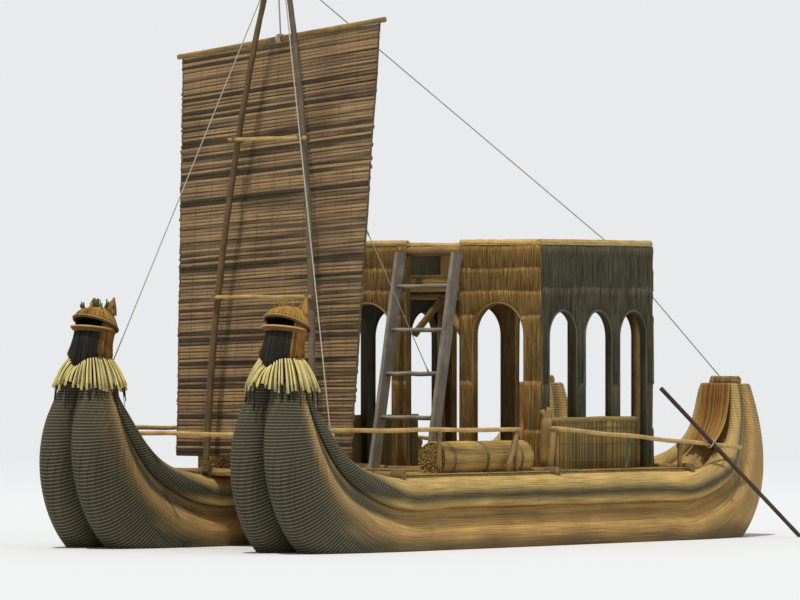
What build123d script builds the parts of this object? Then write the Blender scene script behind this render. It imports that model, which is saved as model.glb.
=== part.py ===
"""Twin-hulled reed boat with an A-frame mast, a reed mat sail, an arched cabin and a steering oar.

Millimetres. X runs aft from the bow posts, +Y is starboard, +Z is up.
The origin lies on the waterline, midway between the two bows.
"""

import os
from math import asin, cos, radians, sin, sqrt

from build123d import *

os.makedirs("parts", exist_ok=True)

# Driving sizes

hull_spacing = 2320.0  # between the middles of the two hulls
groove_gap = 2.0  # gap between the two bundles of one hull, at the keel
roll_bedding = 14.0  # how deep a gunwale roll is pressed on its bundle before it is cut to fit
touch_gap = 0.4  # between rounded pieces that are lashed on each other
beam_gap = 1.9  # between a beam and the swelling rolls under it

hull_half_height, hull_half_width, gunwale_radius = 440.0, 600.0, 140.0  # amidships
keel_line = 80.0  # height of the bundles' middles amidships, above the water

beam_radius = 35.0
beam_overhang = 540.0  # of a beam's end past the middle of a hull
beam_reach = hull_spacing / 2 + beam_overhang
deck_thickness = 32.0
deck_rear = 5700.0
deck_overhang = 490.0  # past the middle of a hull
deck_half_width = hull_spacing / 2 + deck_overhang

# Stations of a hull's pair of bundles, from the stern post to the bow post.
# x, z: middle of the section; turn: its slope in degrees, forward and up is positive;
# half_height, half_width: of the pair of bundles; roll: radius of the gunwale roll
BEAM_PLACES = (980.0, 3300.0, 5450.0)
STRAIGHT_PLACES = (5450.0, 4950.0, 4200.0, 3300.0, 2400.0, 1550.0, 980.0)  # stations with the section amidships
STERN_STATIONS = [
    # x, z, turn, half_height, half_width, roll
    (6790.0, 1500.0, -88.0, 150.0, 205.0, 54.0),
    (6810.0, 1080.0, -84.0, 235.0, 290.0, 72.0),
    (6660.0, 660.0, -64.0, 350.0, 400.0, 98.0),
    (6280.0, 310.0, -36.0, 430.0, 520.0, 125.0),
]
BOW_STATIONS = [
    (480.0, 190.0, 30.0, 460.0, 570.0, 130.0),
    (45.0, 485.0, 57.0, 444.0, 500.0, 112.0),
    (-172.0, 901.0, 81.0, 356.0, 430.0, 92.0),
    (-215.0, 1280.0, 92.0, 225.0, 340.0, 66.0),
    (-175.0, 1570.0, 96.0, 178.0, 222.0, 50.0),
]
STRAIGHT_STATIONS = [
    (x, keel_line, 0.0, hull_half_height, hull_half_width, gunwale_radius) for x in STRAIGHT_PLACES
]
STATIONS = STERN_STATIONS + STRAIGHT_STATIONS + BOW_STATIONS
bundle_centre_share = 0.46  # a bundle's middle, as a share of the pair's half width
seat_start, seat_end = 45.0, 75.0  # degrees round a bundle, where its gunwale roll lies


def station_plane(x, y, z, turn):
    """The plane across a hull at one station: its x is +Y, its y points to the keel side."""
    slope = radians(turn)
    return Plane(origin=(x, y, z), x_dir=(0, 1, 0), z_dir=(-cos(slope), 0, sin(slope)))


def seat_points(half_height, half_width, side, lift):
    """The two ends of the flat on which the gunwale roll lies, in the station's plane."""
    middle = bundle_centre_share * half_width
    reach = half_width - middle
    points = []
    for angle in (seat_start, seat_end):
        points.append((middle + reach * cos(radians(angle)), -half_height * sin(radians(angle))))
    (ax, ay), (bx, by) = points
    length = sqrt((ax - bx) ** 2 + (ay - by) ** 2)
    nx, ny = -(ay - by) / length, (ax - bx) / length
    if ny > 0:
        nx, ny = -nx, -ny
    return [(side * (px + nx * lift), py + ny * lift) for px, py in points]


def hull_bundle(hull_y, side):
    """One of a hull's two bundles, flat on its neighbour and flat under its gunwale roll."""
    with BuildPart() as bundle:
        for x, z, turn, half_height, half_width, roll in STATIONS:
            middle = bundle_centre_share * half_width
            reach = half_width - middle
            start, end = seat_points(half_height, half_width, side, 0.0)
            with BuildSketch(station_plane(x, hull_y, z, turn)):
                with Locations((side * middle, 0)):
                    Ellipse(reach, half_height)
                with Locations((side * (groove_gap / 2 + half_width), 0)):
                    Rectangle(2 * half_width, 4 * half_height, mode=Mode.INTERSECT)
                with BuildLine():
                    Polyline(start, end, (end[0], -2 * half_height), (start[0], -2 * half_height), close=True)
                make_face(mode=Mode.SUBTRACT)
        loft()
    return bundle


def gunwale_roll(hull_y, side, bundle):
    """The thinner roll sewn on a bundle's shoulder, from post to post, and cut to fit it."""
    with BuildPart() as gunwale:
        for x, z, turn, half_height, half_width, roll in STATIONS:
            start, end = seat_points(half_height, half_width, side, -roll_bedding)
            half_seat = sqrt((start[0] - end[0]) ** 2 + (start[1] - end[1]) ** 2) / 2
            rise = roll + sqrt(roll**2 - half_seat**2)
            crown = seat_points(half_height, half_width, side, rise - roll_bedding)
            top = ((crown[0][0] + crown[1][0]) / 2, (crown[0][1] + crown[1][1]) / 2)
            with BuildSketch(station_plane(x, hull_y, z, turn)):
                with BuildLine():
                    ThreePointArc(start, top, end)
                    Line(end, start)
                make_face()
        loft()
        add(bundle.part, mode=Mode.SUBTRACT)
    return gunwale


def save(piece, name):
    """Label one finished piece and write it under its name."""
    piece.part.label = name
    export_step(piece.part, f"parts/{name}.step")


def roll_crest():
    """Height of the gunwale rolls' tops above the bundles' middles, amidships."""
    start, end = seat_points(hull_half_height, hull_half_width, 1, 0.0)
    half_seat = sqrt((start[0] - end[0]) ** 2 + (start[1] - end[1]) ** 2) / 2
    lift = sqrt(gunwale_radius**2 - half_seat**2) - roll_bedding
    middle = seat_points(hull_half_height, hull_half_width, 1, lift)
    return -(middle[0][1] + middle[1][1]) / 2 + gunwale_radius


def pole(radius, start, end):
    """A straight round pole from one point to another."""
    path = Vector(*end) - Vector(*start)
    with BuildPart() as rod:
        with BuildSketch(Plane(origin=start, z_dir=path)):
            Circle(radius)
        extrude(amount=path.length)
    return rod


def poles(rows):
    """Several poles of one node; each row is radius, start, end."""
    with BuildPart() as rods:
        for radius, start, end in rows:
            add(pole(radius, start, end).part)
    return rods


SIDES = (("port", -1), ("starboard", 1))

# Hulls, their necks, heads and stern posts

neck_top_z, neck_radius = 2055.0, 160.0
throat_x, throat_z, throat_radius = -130.0, 1750.0, 176.0  # where the ruff is tied on
mouth_height, mouth_depth, mouth_overcut = 105.0, 215.0, 80.0
crown_radius, crown_height, crown_lip, crown_aft = 205.0, 188.0, 40.0, 55.0
ear_radius, ear_height, ear_spread, ear_tip_radius, ear_tip_spread = 42.0, 130.0, 190.0, 6.0, 240.0
ear_base_z, ear_base_aft, ear_tip_aft = neck_top_z + 70.0, 120.0, 155.0  # aft of the neck's middle
ruff_bottom_z, ruff_bottom_radius, ruff_thickness = 1480.0, 322.0, 26.0
head_x = -90.0
facing_thickness, facing_bedding, facing_share = 34.0, 8.0, 0.52
cap_radius, cap_reach, cap_forward, cap_lift = 50.0, 165.0, 67.5, 27.5  # from the stern post's end

gunwales = []
for hull_name, hull_side in SIDES:
    hull_y = hull_side * hull_spacing / 2
    hull_pieces = []
    for bundle_name, bundle_side in (("outer", hull_side), ("inner", -hull_side)):
        bundle = hull_bundle(hull_y, bundle_side)
        save(bundle, f"{hull_name}_{bundle_name}_bundle")
        gunwale = gunwale_roll(hull_y, bundle_side, bundle)
        save(gunwale, f"{hull_name}_{bundle_name}_gunwale")
        hull_pieces += [bundle, gunwale]
        gunwales.append(gunwale)

    # The stern post's flat inner facing, between the gunwale rolls, and the roll across its top
    with BuildPart() as facing:
        for x, z, turn, half_height, half_width, roll in STATIONS[:3]:
            with BuildSketch(station_plane(x, hull_y, z, turn)):
                with Locations((0, -half_height - facing_thickness / 2 + facing_bedding)):
                    Rectangle(2 * facing_share * half_width, facing_thickness)
        loft()
        for piece in hull_pieces:
            add(piece.part, mode=Mode.SUBTRACT)
    save(facing, f"{hull_name}_stern_facing")
    cap_x, cap_z = STATIONS[0][0] - cap_forward, STATIONS[0][1] + cap_lift
    with BuildPart() as cap:
        add(pole(cap_radius, (cap_x, hull_y - cap_reach, cap_z), (cap_x, hull_y + cap_reach, cap_z)).part)
        add(facing.part, mode=Mode.SUBTRACT)
        for piece in hull_pieces:
            add(piece.part, mode=Mode.SUBTRACT)
    save(cap, f"{hull_name}_stern_cap")

    # The neck stands on the bow post, and the mouth is cut into its front
    with BuildPart() as neck:
        bow = STATIONS[-1]
        with BuildSketch(station_plane(bow[0], hull_y, bow[1], bow[2])):
            Ellipse(bow[4], bow[3])
        for x, z, radius in ((throat_x, throat_z, throat_radius), (head_x, neck_top_z, neck_radius)):
            with BuildSketch(Plane.XY.offset(z)):
                with Locations((x, hull_y)):
                    Circle(radius)
        loft()
        with BuildSketch(Plane.XZ.offset(-hull_y)):
            with BuildLine():
                Polyline(
                    (head_x - neck_radius - mouth_overcut, neck_top_z - mouth_height),
                    (head_x - neck_radius + mouth_depth, neck_top_z + 1),
                    (head_x - neck_radius - mouth_overcut, neck_top_z + 1),
                    close=True,
                )
            make_face()
        extrude(amount=neck_radius + mouth_overcut, both=True, mode=Mode.SUBTRACT)
    save(neck, f"{hull_name}_neck")

    # The upper jaw and brow: a dome with a rolled lip over the mouth
    dome_radius = (crown_radius**2 + (crown_height - crown_lip) ** 2) / (2 * (crown_height - crown_lip))
    dome_turn = asin(crown_radius / dome_radius) / 2
    with BuildPart() as crown:
        with BuildSketch(Plane.XZ):
            with BuildLine():
                Line((0, 0), (crown_radius, 0))
                Line((crown_radius, 0), (crown_radius + crown_lip / 2, crown_lip / 2))
                Line((crown_radius + crown_lip / 2, crown_lip / 2), (crown_radius, crown_lip))
                ThreePointArc(
                    (crown_radius, crown_lip),
                    (dome_radius * sin(dome_turn), crown_height - dome_radius * (1 - cos(dome_turn))),
                    (0, crown_height),
                )
                Line((0, crown_height), (0, 0))
            make_face()
        revolve(axis=Axis.Z)
    crown.part = crown.part.moved(Location((head_x + crown_aft, hull_y, neck_top_z)))
    save(crown, f"{hull_name}_crown")

    with BuildPart() as ears:
        for ear_side in (-1, 1):
            with BuildSketch(Plane.XY.offset(ear_base_z)):
                with Locations((head_x + ear_base_aft, hull_y + ear_side * ear_spread / 2)):
                    Circle(ear_radius)
            with BuildSketch(Plane.XY.offset(ear_base_z + ear_height)):
                with Locations((head_x + ear_tip_aft, hull_y + ear_side * ear_tip_spread / 2)):
                    Circle(ear_tip_radius)
            loft()
        add(crown.part, mode=Mode.SUBTRACT)
    save(ears, f"{hull_name}_ears")

    # The ruff of cut reeds, flared over the top of the bundles
    with BuildPart() as ruff:
        with BuildSketch(Plane.XZ):
            with BuildLine():
                Polyline(
                    (throat_radius, throat_z),
                    (throat_radius + ruff_thickness, throat_z),
                    (ruff_bottom_radius + ruff_thickness, ruff_bottom_z),
                    (ruff_bottom_radius, ruff_bottom_z),
                    close=True,
                )
            make_face()
        revolve(axis=Axis.Z)
    ruff.part = ruff.part.moved(Location((throat_x, hull_y, 0)))
    with BuildPart() as fitted_ruff:
        add(ruff.part)
        add(neck.part, mode=Mode.SUBTRACT)
        for piece in hull_pieces:
            add(piece.part, mode=Mode.SUBTRACT)
    save(fitted_ruff, f"{hull_name}_ruff")

# Deck: beams lashed across the gunwale rolls, with reed mats between them

beam_z = keel_line + roll_crest() + beam_gap + beam_radius
save(poles([(beam_radius, (x, -beam_reach, beam_z), (x, beam_reach, beam_z)) for x in BEAM_PLACES]), "deck_beams")
deck_bottom = keel_line + roll_crest() + beam_gap
deck_top = deck_bottom + deck_thickness
with BuildPart() as deck_mat:
    for front, rear in zip(BEAM_PLACES, (*BEAM_PLACES[1:], deck_rear + beam_radius + touch_gap)):
        length = rear - front - 2 * (beam_radius + touch_gap)
        with Locations(((front + rear) / 2, 0, (deck_bottom + deck_top) / 2)):
            Box(length, 2 * deck_half_width, deck_thickness)
    for gunwale in gunwales:
        add(gunwale.part, mode=Mode.SUBTRACT)
save(deck_mat, "deck_mat")

# Cabin: four thatched walls with arches, an upper deck inside their tops, posts and rims

cabin_front, cabin_rear, cabin_half_width = 3535.0, 5305.0, 1320.0
wall_top, wall_thickness = 2840.0, 60.0
end_gap_half_width = 325.0  # the way in between the two panels of an end wall
end_arch_y, end_arch_half_width, end_arch_crown, end_arch_rise = 805.0, 312.0, 2290.0, 310.0
side_arch_count, side_arch_pitch, side_arch_half_width = 3, 558.0, 218.0
side_arch_crown, side_arch_rise = 2215.0, 262.0
upper_deck_z, upper_deck_thickness, joist_radius = 2400.0, 45.0, 36.0
rim_radius, rim_lift, rim_gap = 36.0, 21.6, 2.0  # a rim's middle lies rim_lift above its wall's top
post_radius = 42.0


def arch_outline(middle, half_width, crown, rise):
    """An opening from the deck up to a half-elliptical crown, drawn in the wall's plane."""
    spring = crown - rise
    with BuildSketch(mode=Mode.PRIVATE) as outline:
        with BuildLine():
            Line((middle - half_width, deck_top - 1), (middle + half_width, deck_top - 1))
            Line((middle + half_width, deck_top - 1), (middle + half_width, spring))
            EllipticalCenterArc((middle, spring), half_width, rise, start_angle=0, arc_size=180)
            Line((middle - half_width, spring), (middle - half_width, deck_top - 1))
        make_face()
    return outline.sketch


for end_name, end_x in (("front", cabin_front), ("rear", cabin_rear - wall_thickness)):
    for panel_name, panel_side in SIDES:
        with BuildPart() as panel:
            with BuildSketch(Plane.YZ.offset(end_x)):
                with BuildLine():
                    near, far = panel_side * end_gap_half_width, panel_side * cabin_half_width
                    Polyline((near, deck_top), (far, deck_top), (far, wall_top), (near, wall_top), close=True)
                make_face()
                add(
                    arch_outline(panel_side * end_arch_y, end_arch_half_width, end_arch_crown, end_arch_rise),
                    mode=Mode.SUBTRACT,
                )
            extrude(amount=wall_thickness)
        save(panel, f"{panel_name}_{end_name}_panel")

side_front, side_rear = cabin_front + wall_thickness, cabin_rear - wall_thickness
side_middle = (side_front + side_rear) / 2
for wall_name, wall_side in SIDES:
    inner_y = wall_side * (cabin_half_width - wall_thickness)
    with BuildPart() as side_wall:
        with BuildSketch(Plane.XZ.offset(-min(inner_y, inner_y + wall_side * wall_thickness) - wall_thickness)):
            with Locations((side_middle, (deck_top + wall_top) / 2)):
                Rectangle(side_rear - side_front, wall_top - deck_top)
            for step in range(side_arch_count):
                arch_x = side_middle + (step - (side_arch_count - 1) / 2) * side_arch_pitch
                add(arch_outline(arch_x, side_arch_half_width, side_arch_crown, side_arch_rise), mode=Mode.SUBTRACT)
        extrude(amount=wall_thickness)
    save(side_wall, f"{wall_name}_cabin_wall")

post_y = cabin_half_width - wall_thickness - post_radius - touch_gap
save(
    poles(
        [
            (post_radius, (x, y, deck_top), (x, y, upper_deck_z))
            for x in (side_front + post_radius + touch_gap, side_rear - post_radius - touch_gap)
            for y in (-post_y, post_y)
        ]
    ),
    "corner_posts",
)
with BuildPart() as upper_deck:
    with BuildSketch(Plane.XY.offset(upper_deck_z)):
        with Locations((side_middle, 0)):
            Rectangle(side_rear - side_front, 2 * (cabin_half_width - wall_thickness))
    extrude(amount=upper_deck_thickness)
save(upper_deck, "upper_deck")

joist_z = upper_deck_z - joist_radius - touch_gap
joist_reach = cabin_half_width - wall_thickness
joist_step = (side_rear - side_front - 4 * joist_radius) / 4
save(
    poles(
        [
            (joist_radius, (x, -joist_reach, joist_z), (x, joist_reach, joist_z))
            for x in (side_middle - joist_step, side_middle, side_middle + joist_step)
        ]
    ),
    "upper_deck_joists",
)

# Rims and lintels: reed rolls along the walls' tops and poles over the end walls' gaps
rim_z = wall_top + rim_lift
rim_rows = []
for rim_side in (-1, 1):
    rim_y = rim_side * (cabin_half_width - wall_thickness / 2)
    rim_rows.append((rim_radius, (cabin_front, rim_y, rim_z), (cabin_rear, rim_y, rim_z)))
    for rim_x in (cabin_front + wall_thickness / 2, cabin_rear - wall_thickness / 2):
        reach = cabin_half_width - wall_thickness / 2 - rim_radius - rim_gap
        rim_rows.append((rim_radius, (rim_x, rim_side * end_gap_half_width, rim_z), (rim_x, rim_side * reach, rim_z)))
with BuildPart() as rims:
    for row in rim_rows:
        with BuildPart(mode=Mode.PRIVATE) as rim:
            add(pole(*row).part)
            split(bisect_by=Plane.XY.offset(wall_top), keep=Keep.TOP)
        add(rim.part)
save(rims, "wall_rims")

lintel_radius, lintel_z = 44.0, 2785.0
save(
    poles(
        [
            (lintel_radius, (x, -end_gap_half_width, lintel_z), (x, end_gap_half_width, lintel_z))
            for x in (cabin_front + wall_thickness / 2, cabin_rear - wall_thickness / 2)
        ]
    ),
    "lintels",
)
sill_radius, sill_reach, sill_aft = 58.0, 430.0, 70.0
sill_z = upper_deck_z + upper_deck_thickness + touch_gap + sill_radius
save(
    poles([(sill_radius, (side_front + sill_aft, -sill_reach, sill_z), (side_front + sill_aft, sill_reach, sill_z))]),
    "upper_deck_sill",
)

low_wall_top, low_wall_thickness, low_wall_front, low_wall_rear = 1160.0, 45.0, 3560.0, 4960.0
for wall_name, wall_side in SIDES:
    with BuildPart() as low_wall:
        with BuildSketch(Plane.XY.offset(deck_top)):
            with Locations(
                ((low_wall_front + low_wall_rear) / 2, wall_side * (cabin_half_width + low_wall_thickness / 2))
            ):
                Rectangle(low_wall_rear - low_wall_front, low_wall_thickness)
        extrude(amount=low_wall_top - deck_top)
    save(low_wall, f"{wall_name}_low_wall")

# Bench rolls of reeds, flattened where they lie on the deck
bench_front, bench_rear, bench_y, bench_radius = 1850.0, 3200.0, 1330.0, 165.0
bench_sink = 33.0  # how far a roll is flattened on the deck
for bench_name, bench_side in SIDES:
    with BuildPart() as bench:
        bench_z = deck_top + bench_radius - bench_sink
        row = (bench_radius, (bench_front, bench_side * bench_y, bench_z), (bench_rear, bench_side * bench_y, bench_z))
        add(pole(*row).part)
        split(bisect_by=Plane.XY.offset(deck_top), keep=Keep.TOP)
    save(bench, f"{bench_name}_bench_roll")

# Ladder, leaning on the front panels on either side of the way in

stile_width, stile_thickness = 130.0, 40.0
stile_lap = 1.0  # from the edge of the way in to a stile that leans beside it
ladder_half_width = end_gap_half_width + stile_lap + stile_thickness
ladder_foot_x, ladder_top_z = 2995.0, 2780.0
ladder_rise = ladder_top_z - deck_top
rung_heights, rung_radius = (1190.0, 1610.0, 2030.0, 2450.0), 22.0
ladder_run = cabin_front - touch_gap - ladder_foot_x - stile_width
ladder_slope = ladder_run / ladder_rise
with BuildPart() as stiles:
    for stile_side in (-1, 1):
        with BuildSketch(Plane.XZ.offset(-stile_side * (ladder_half_width - stile_thickness))):
            with BuildLine():
                Polyline(
                    (ladder_foot_x, deck_top),
                    (ladder_foot_x + stile_width, deck_top),
                    (ladder_foot_x + stile_width + ladder_run, ladder_top_z),
                    (ladder_foot_x + ladder_run, ladder_top_z),
                    close=True,
                )
            make_face()
        extrude(amount=-stile_side * stile_thickness)
save(stiles, "ladder_stiles")
rung_rows = []
for height in rung_heights:
    rung_x = ladder_foot_x + stile_width / 2 + (height - deck_top) * ladder_slope
    reach = ladder_half_width - stile_thickness
    rung_rows.append((rung_radius, (rung_x, -reach, height), (rung_x, reach, height)))
save(poles(rung_rows), "ladder_rungs")

# Mast: two bowed legs lashed to the first beam, rungs, a crosspiece, the yard and the sail

leg_radius, leg_foot_y, leg_middle_y, leg_head_y = 38.0, 630.0, 475.0, 62.0
leg_foot_lift = 2.0  # above the beam's middle, clear of the gunwale roll
mast_height, leg_middle_up, mast_rake = 4850.0, 2570.5, 3.7  # along the legs, and in degrees aft
mast_foot = (BEAM_PLACES[0] - beam_radius - leg_radius - touch_gap, 0.0, beam_z + leg_foot_lift)
rake = radians(mast_rake)
mast_normal = (cos(rake), 0, -sin(rake))


def mast_plane(offset):
    """The raked plane of the mast, moved aft: its x is +Y and its y runs up the mast."""
    return Plane(origin=mast_foot, x_dir=(0, 1, 0), z_dir=mast_normal).offset(offset)


def mast_point(across, up, aft):
    """A point given in the mast's own raked plane, in the boat's frame."""
    return tuple(mast_plane(aft).from_local_coords(Vector(across, up, 0)))


for leg_name, leg_side in SIDES:
    with BuildPart() as leg:
        with BuildLine(mast_plane(0)) as run:
            ThreePointArc(
                (leg_side * leg_foot_y, 0),
                (leg_side * leg_middle_y, leg_middle_up),
                (leg_side * leg_head_y, mast_height),
            )
        with BuildSketch(Plane(origin=run.line @ 0, z_dir=run.line % 0)):
            Circle(leg_radius)
        sweep(path=run.line)
    save(leg, f"{leg_name}_mast_leg")

mast_rung_radius = 17.0
MAST_RUNGS = ((1640.0, 610.0), (3120.0, 470.0))  # up the mast, and from its middle to an end
mast_rung_aft = -(leg_radius + mast_rung_radius + touch_gap)
save(
    poles(
        [
            (mast_rung_radius, mast_point(-reach, up, mast_rung_aft), mast_point(reach, up, mast_rung_aft))
            for up, reach in MAST_RUNGS
        ]
    ),
    "mast_rungs",
)
cross_drop, cross_reach, cross_radius = 210.0, 210.0, 24.0  # cross_drop is from the legs' ends
cross_up = mast_height - cross_drop
cross_aft = leg_radius + cross_radius + touch_gap
save(
    poles([(cross_radius, mast_point(-cross_reach, cross_up, cross_aft), mast_point(cross_reach, cross_up, cross_aft))]),
    "mast_crosspiece",
)

sail_aft, sail_thickness, sail_middle = 185.0, 26.0, 90.0
yard_up, yard_tilt, yard_reach, yard_radius = 4085.0, 6.5, 1260.0, 34.0
sail_foot_up, sail_foot_half_width, sail_head_half_width = 160.0, 1060.0, 1200.0
halyard_radius, halyard_foot_gap, halyard_head_gap, halyard_head_y = 9.0, 2.6, 1.0, 45.0
tilt = radians(yard_tilt)
yard_ends = [
    mast_point(sail_middle + end * yard_reach * cos(tilt), yard_up - end * yard_reach * sin(tilt), sail_aft)
    for end in (-1, 1)
]
save(poles([(yard_radius, yard_ends[0], yard_ends[1])]), "yard")
with BuildPart() as sail:
    head_drop = yard_radius / cos(tilt) + touch_gap
    with BuildSketch(mast_plane(sail_aft - sail_thickness / 2)):
        with BuildLine():
            near_head = -sail_head_half_width * cos(tilt)
            far_head = sail_head_half_width * cos(tilt)
            Polyline(
                (sail_middle - sail_foot_half_width, sail_foot_up),
                (sail_middle + sail_foot_half_width, sail_foot_up),
                (sail_middle + far_head, yard_up - head_drop - far_head * sin(tilt) / cos(tilt)),
                (sail_middle + near_head, yard_up - head_drop - near_head * sin(tilt) / cos(tilt)),
                close=True,
            )
        make_face()
    extrude(amount=sail_thickness)
save(sail, "sail_mat")
halyard_foot = mast_point(sail_middle, yard_up + yard_radius / cos(tilt) + halyard_foot_gap, sail_aft)
halyard_head = mast_point(halyard_head_y, cross_up - cross_radius - halyard_head_gap, cross_aft)
save(poles([(halyard_radius, halyard_foot, halyard_head)]), "halyard")

# Rails: a pole behind the bow posts, side rails on posts, with the oar over the after port one

rail_radius = 21.0
front_rail_x, front_rail_z, front_rail_overhang = 199.1, 1070.0, 340.0
front_rail_reach = hull_spacing / 2 + front_rail_overhang
save(
    poles([(rail_radius, (front_rail_x, -front_rail_reach, front_rail_z), (front_rail_x, front_rail_reach, front_rail_z))]),
    "front_rail",
)
rail_out, fore_rail_front_out, aft_rail_rear_out = 400.0, 140.0, 482.0  # from the middle of a hull
rail_y, rail_post_radius = hull_spacing / 2 + rail_out, 24.0
fore_rail_overhang = 15.0  # of a side rail's end past the front rail's middle, on which it lies
fore_rail = (
    (
        front_rail_x - fore_rail_overhang,
        hull_spacing / 2 + fore_rail_front_out,
        front_rail_z + 2 * rail_radius + touch_gap,
    ),
    (2880.0, rail_y, 1095.0),
)
aft_rail = ((3390.0, rail_y, 1100.0), (6330.0, hull_spacing / 2 + aft_rail_rear_out, 880.0))


def rail_point(ends, x, side):
    """The point of a straight side rail at one distance aft."""
    (ax, ay, az), (bx, by, bz) = ends
    share = (x - ax) / (bx - ax)
    return (x, side * (ay + share * (by - ay)), az + share * (bz - az))


RAILS = (
    # name, ends, places of the posts
    ("fore", fore_rail, (1800.0, 2840.0)),
    ("aft", aft_rail, (3450.0, 5350.0)),
)
for rail_name, rail_side in SIDES:
    for place, ends, post_places in RAILS:
        start, end = rail_point(ends, ends[0][0], rail_side), rail_point(ends, ends[1][0], rail_side)
        rail = poles([(rail_radius, start, end)])
        save(rail, f"{rail_name}_{place}_rail")
        post_rows = []
        for post_x in post_places:
            x, y, z = rail_point(ends, post_x, rail_side)
            post_rows.append((rail_post_radius, (x, y, deck_top), (x, y, z)))
        with BuildPart() as posts:
            add(poles(post_rows).part)
            add(rail.part, mode=Mode.SUBTRACT)
        save(posts, f"{rail_name}_{place}_rail_posts")

# Steering oar, lashed over the after port rail

oar_x, oar_grip, oar_reach, oar_radius = 5800.0, 780.0, 1480.0, 22.0
blade_length, blade_width, blade_thickness, blade_corner, blade_lap = 520.0, 150.0, 26.0, 50.0, 60.0
oar_direction = Vector(0.68, -0.28, -0.675).normalized()
rail_line = Vector(*rail_point(aft_rail, aft_rail[1][0], -1)) - Vector(*rail_point(aft_rail, aft_rail[0][0], -1))
oar_lift = oar_direction.cross(rail_line).normalized()
if oar_lift.Z < 0:
    oar_lift = -oar_lift
oar_pivot = Vector(*rail_point(aft_rail, oar_x, -1)) + oar_lift * (rail_radius + oar_radius + touch_gap)
with BuildPart() as oar:
    add(pole(oar_radius, oar_pivot - oar_direction * oar_grip, oar_pivot + oar_direction * oar_reach).part)
    blade_plane = Plane(origin=oar_pivot + oar_direction * (oar_reach - blade_lap), x_dir=oar_direction, z_dir=oar_lift)
    with BuildSketch(blade_plane.offset(-blade_thickness / 2)):
        with Locations((blade_length / 2, 0)):
            RectangleRounded(blade_length, blade_width, blade_corner)
    extrude(amount=blade_thickness)
save(oar, "steering_oar")
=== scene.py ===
"""Looks of the reed boat: bundled hulls, maned bow heads, thatched cabin, mat sail, ropes and stage."""

import math

import bpy
import numpy as np
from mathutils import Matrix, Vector
from mathutils.bvhtree import BVHTree


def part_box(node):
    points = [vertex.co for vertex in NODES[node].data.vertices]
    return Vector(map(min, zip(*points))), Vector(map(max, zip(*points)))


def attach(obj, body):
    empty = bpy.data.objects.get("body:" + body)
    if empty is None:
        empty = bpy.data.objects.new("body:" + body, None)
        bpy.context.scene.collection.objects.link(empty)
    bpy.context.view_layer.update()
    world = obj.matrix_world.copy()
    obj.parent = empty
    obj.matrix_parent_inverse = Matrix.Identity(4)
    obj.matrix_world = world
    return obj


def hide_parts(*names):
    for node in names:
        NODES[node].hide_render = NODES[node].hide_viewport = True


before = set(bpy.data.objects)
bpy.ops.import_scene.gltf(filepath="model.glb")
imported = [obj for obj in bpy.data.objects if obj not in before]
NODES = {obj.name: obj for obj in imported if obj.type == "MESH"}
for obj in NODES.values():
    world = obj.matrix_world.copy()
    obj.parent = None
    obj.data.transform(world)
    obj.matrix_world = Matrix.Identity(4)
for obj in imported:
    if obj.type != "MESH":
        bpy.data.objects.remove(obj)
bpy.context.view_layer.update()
SIDES = (("port", -1.0), ("starboard", 1.0))
HULL_Y = 1.16  # from the boat's middle to a hull's middle
BOAT, SAIL, OAR = "boat", "sail", "oar"
SCENE = bpy.context.scene
GRAIN, GRAIN_RUN = 0.006, 0.35  # width and length of a streak in the wood
RIB_PITCH = 0.026  # from one turn of rope to the next along a hull


# Colours and materials


def srgb(red, green, blue):
    """A colour given as 0 to 255, as the linear values that the shaders take."""
    parts = []
    for value in (red, green, blue):
        share = value / 255
        parts.append(share / 12.92 if share <= 0.04045 else ((share + 0.055) / 1.055) ** 2.4)
    return (*parts, 1.0)


class Net:
    """A material's nodes, added and joined by short calls."""

    def __init__(self, name):
        self.mat = bpy.data.materials.new(name)
        self.mat.use_nodes = True
        self.tree = self.mat.node_tree
        self.shader = self.tree.nodes["Principled BSDF"]

    def node(self, kind, **values):
        """Add a node; names that fit one of its sockets set or join it, the rest set properties."""
        made = self.tree.nodes.new("ShaderNode" + kind)
        for key, value in values.items():
            socket = made.inputs.get(key.replace("_", " "))
            if socket is None:
                setattr(made, key, value)
            else:
                self.feed(value, socket)
        return made

    def feed(self, value, socket):
        """Join a node's output to a socket, or set the socket's value."""
        if isinstance(value, bpy.types.NodeSocket):
            self.tree.links.new(value, socket)
        else:
            socket.default_value = value

    def math(self, operation, first, second=0.0):
        made = self.node("Math", operation=operation)
        self.feed(first, made.inputs[0])
        self.feed(second, made.inputs[1])
        return made.outputs[0]

    def ramp(self, factor, stops):
        """A colour ramp from rows of place and colour."""
        made = self.node("ValToRGB")
        self.feed(factor, made.inputs[0])
        elements = made.color_ramp.elements
        while len(elements) < len(stops):
            elements.new(0.5)
        for element, (place, colour) in zip(elements, stops):
            element.position = place
            element.color = colour
        return made.outputs["Color"]

    def blend(self, kind, factor, first, second):
        made = self.node("Mix", data_type="RGBA", blend_type=kind)
        self.feed(factor, made.inputs["Factor"])
        self.feed(first, made.inputs[6])
        self.feed(second, made.inputs[7])
        return made.outputs[2]


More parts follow.
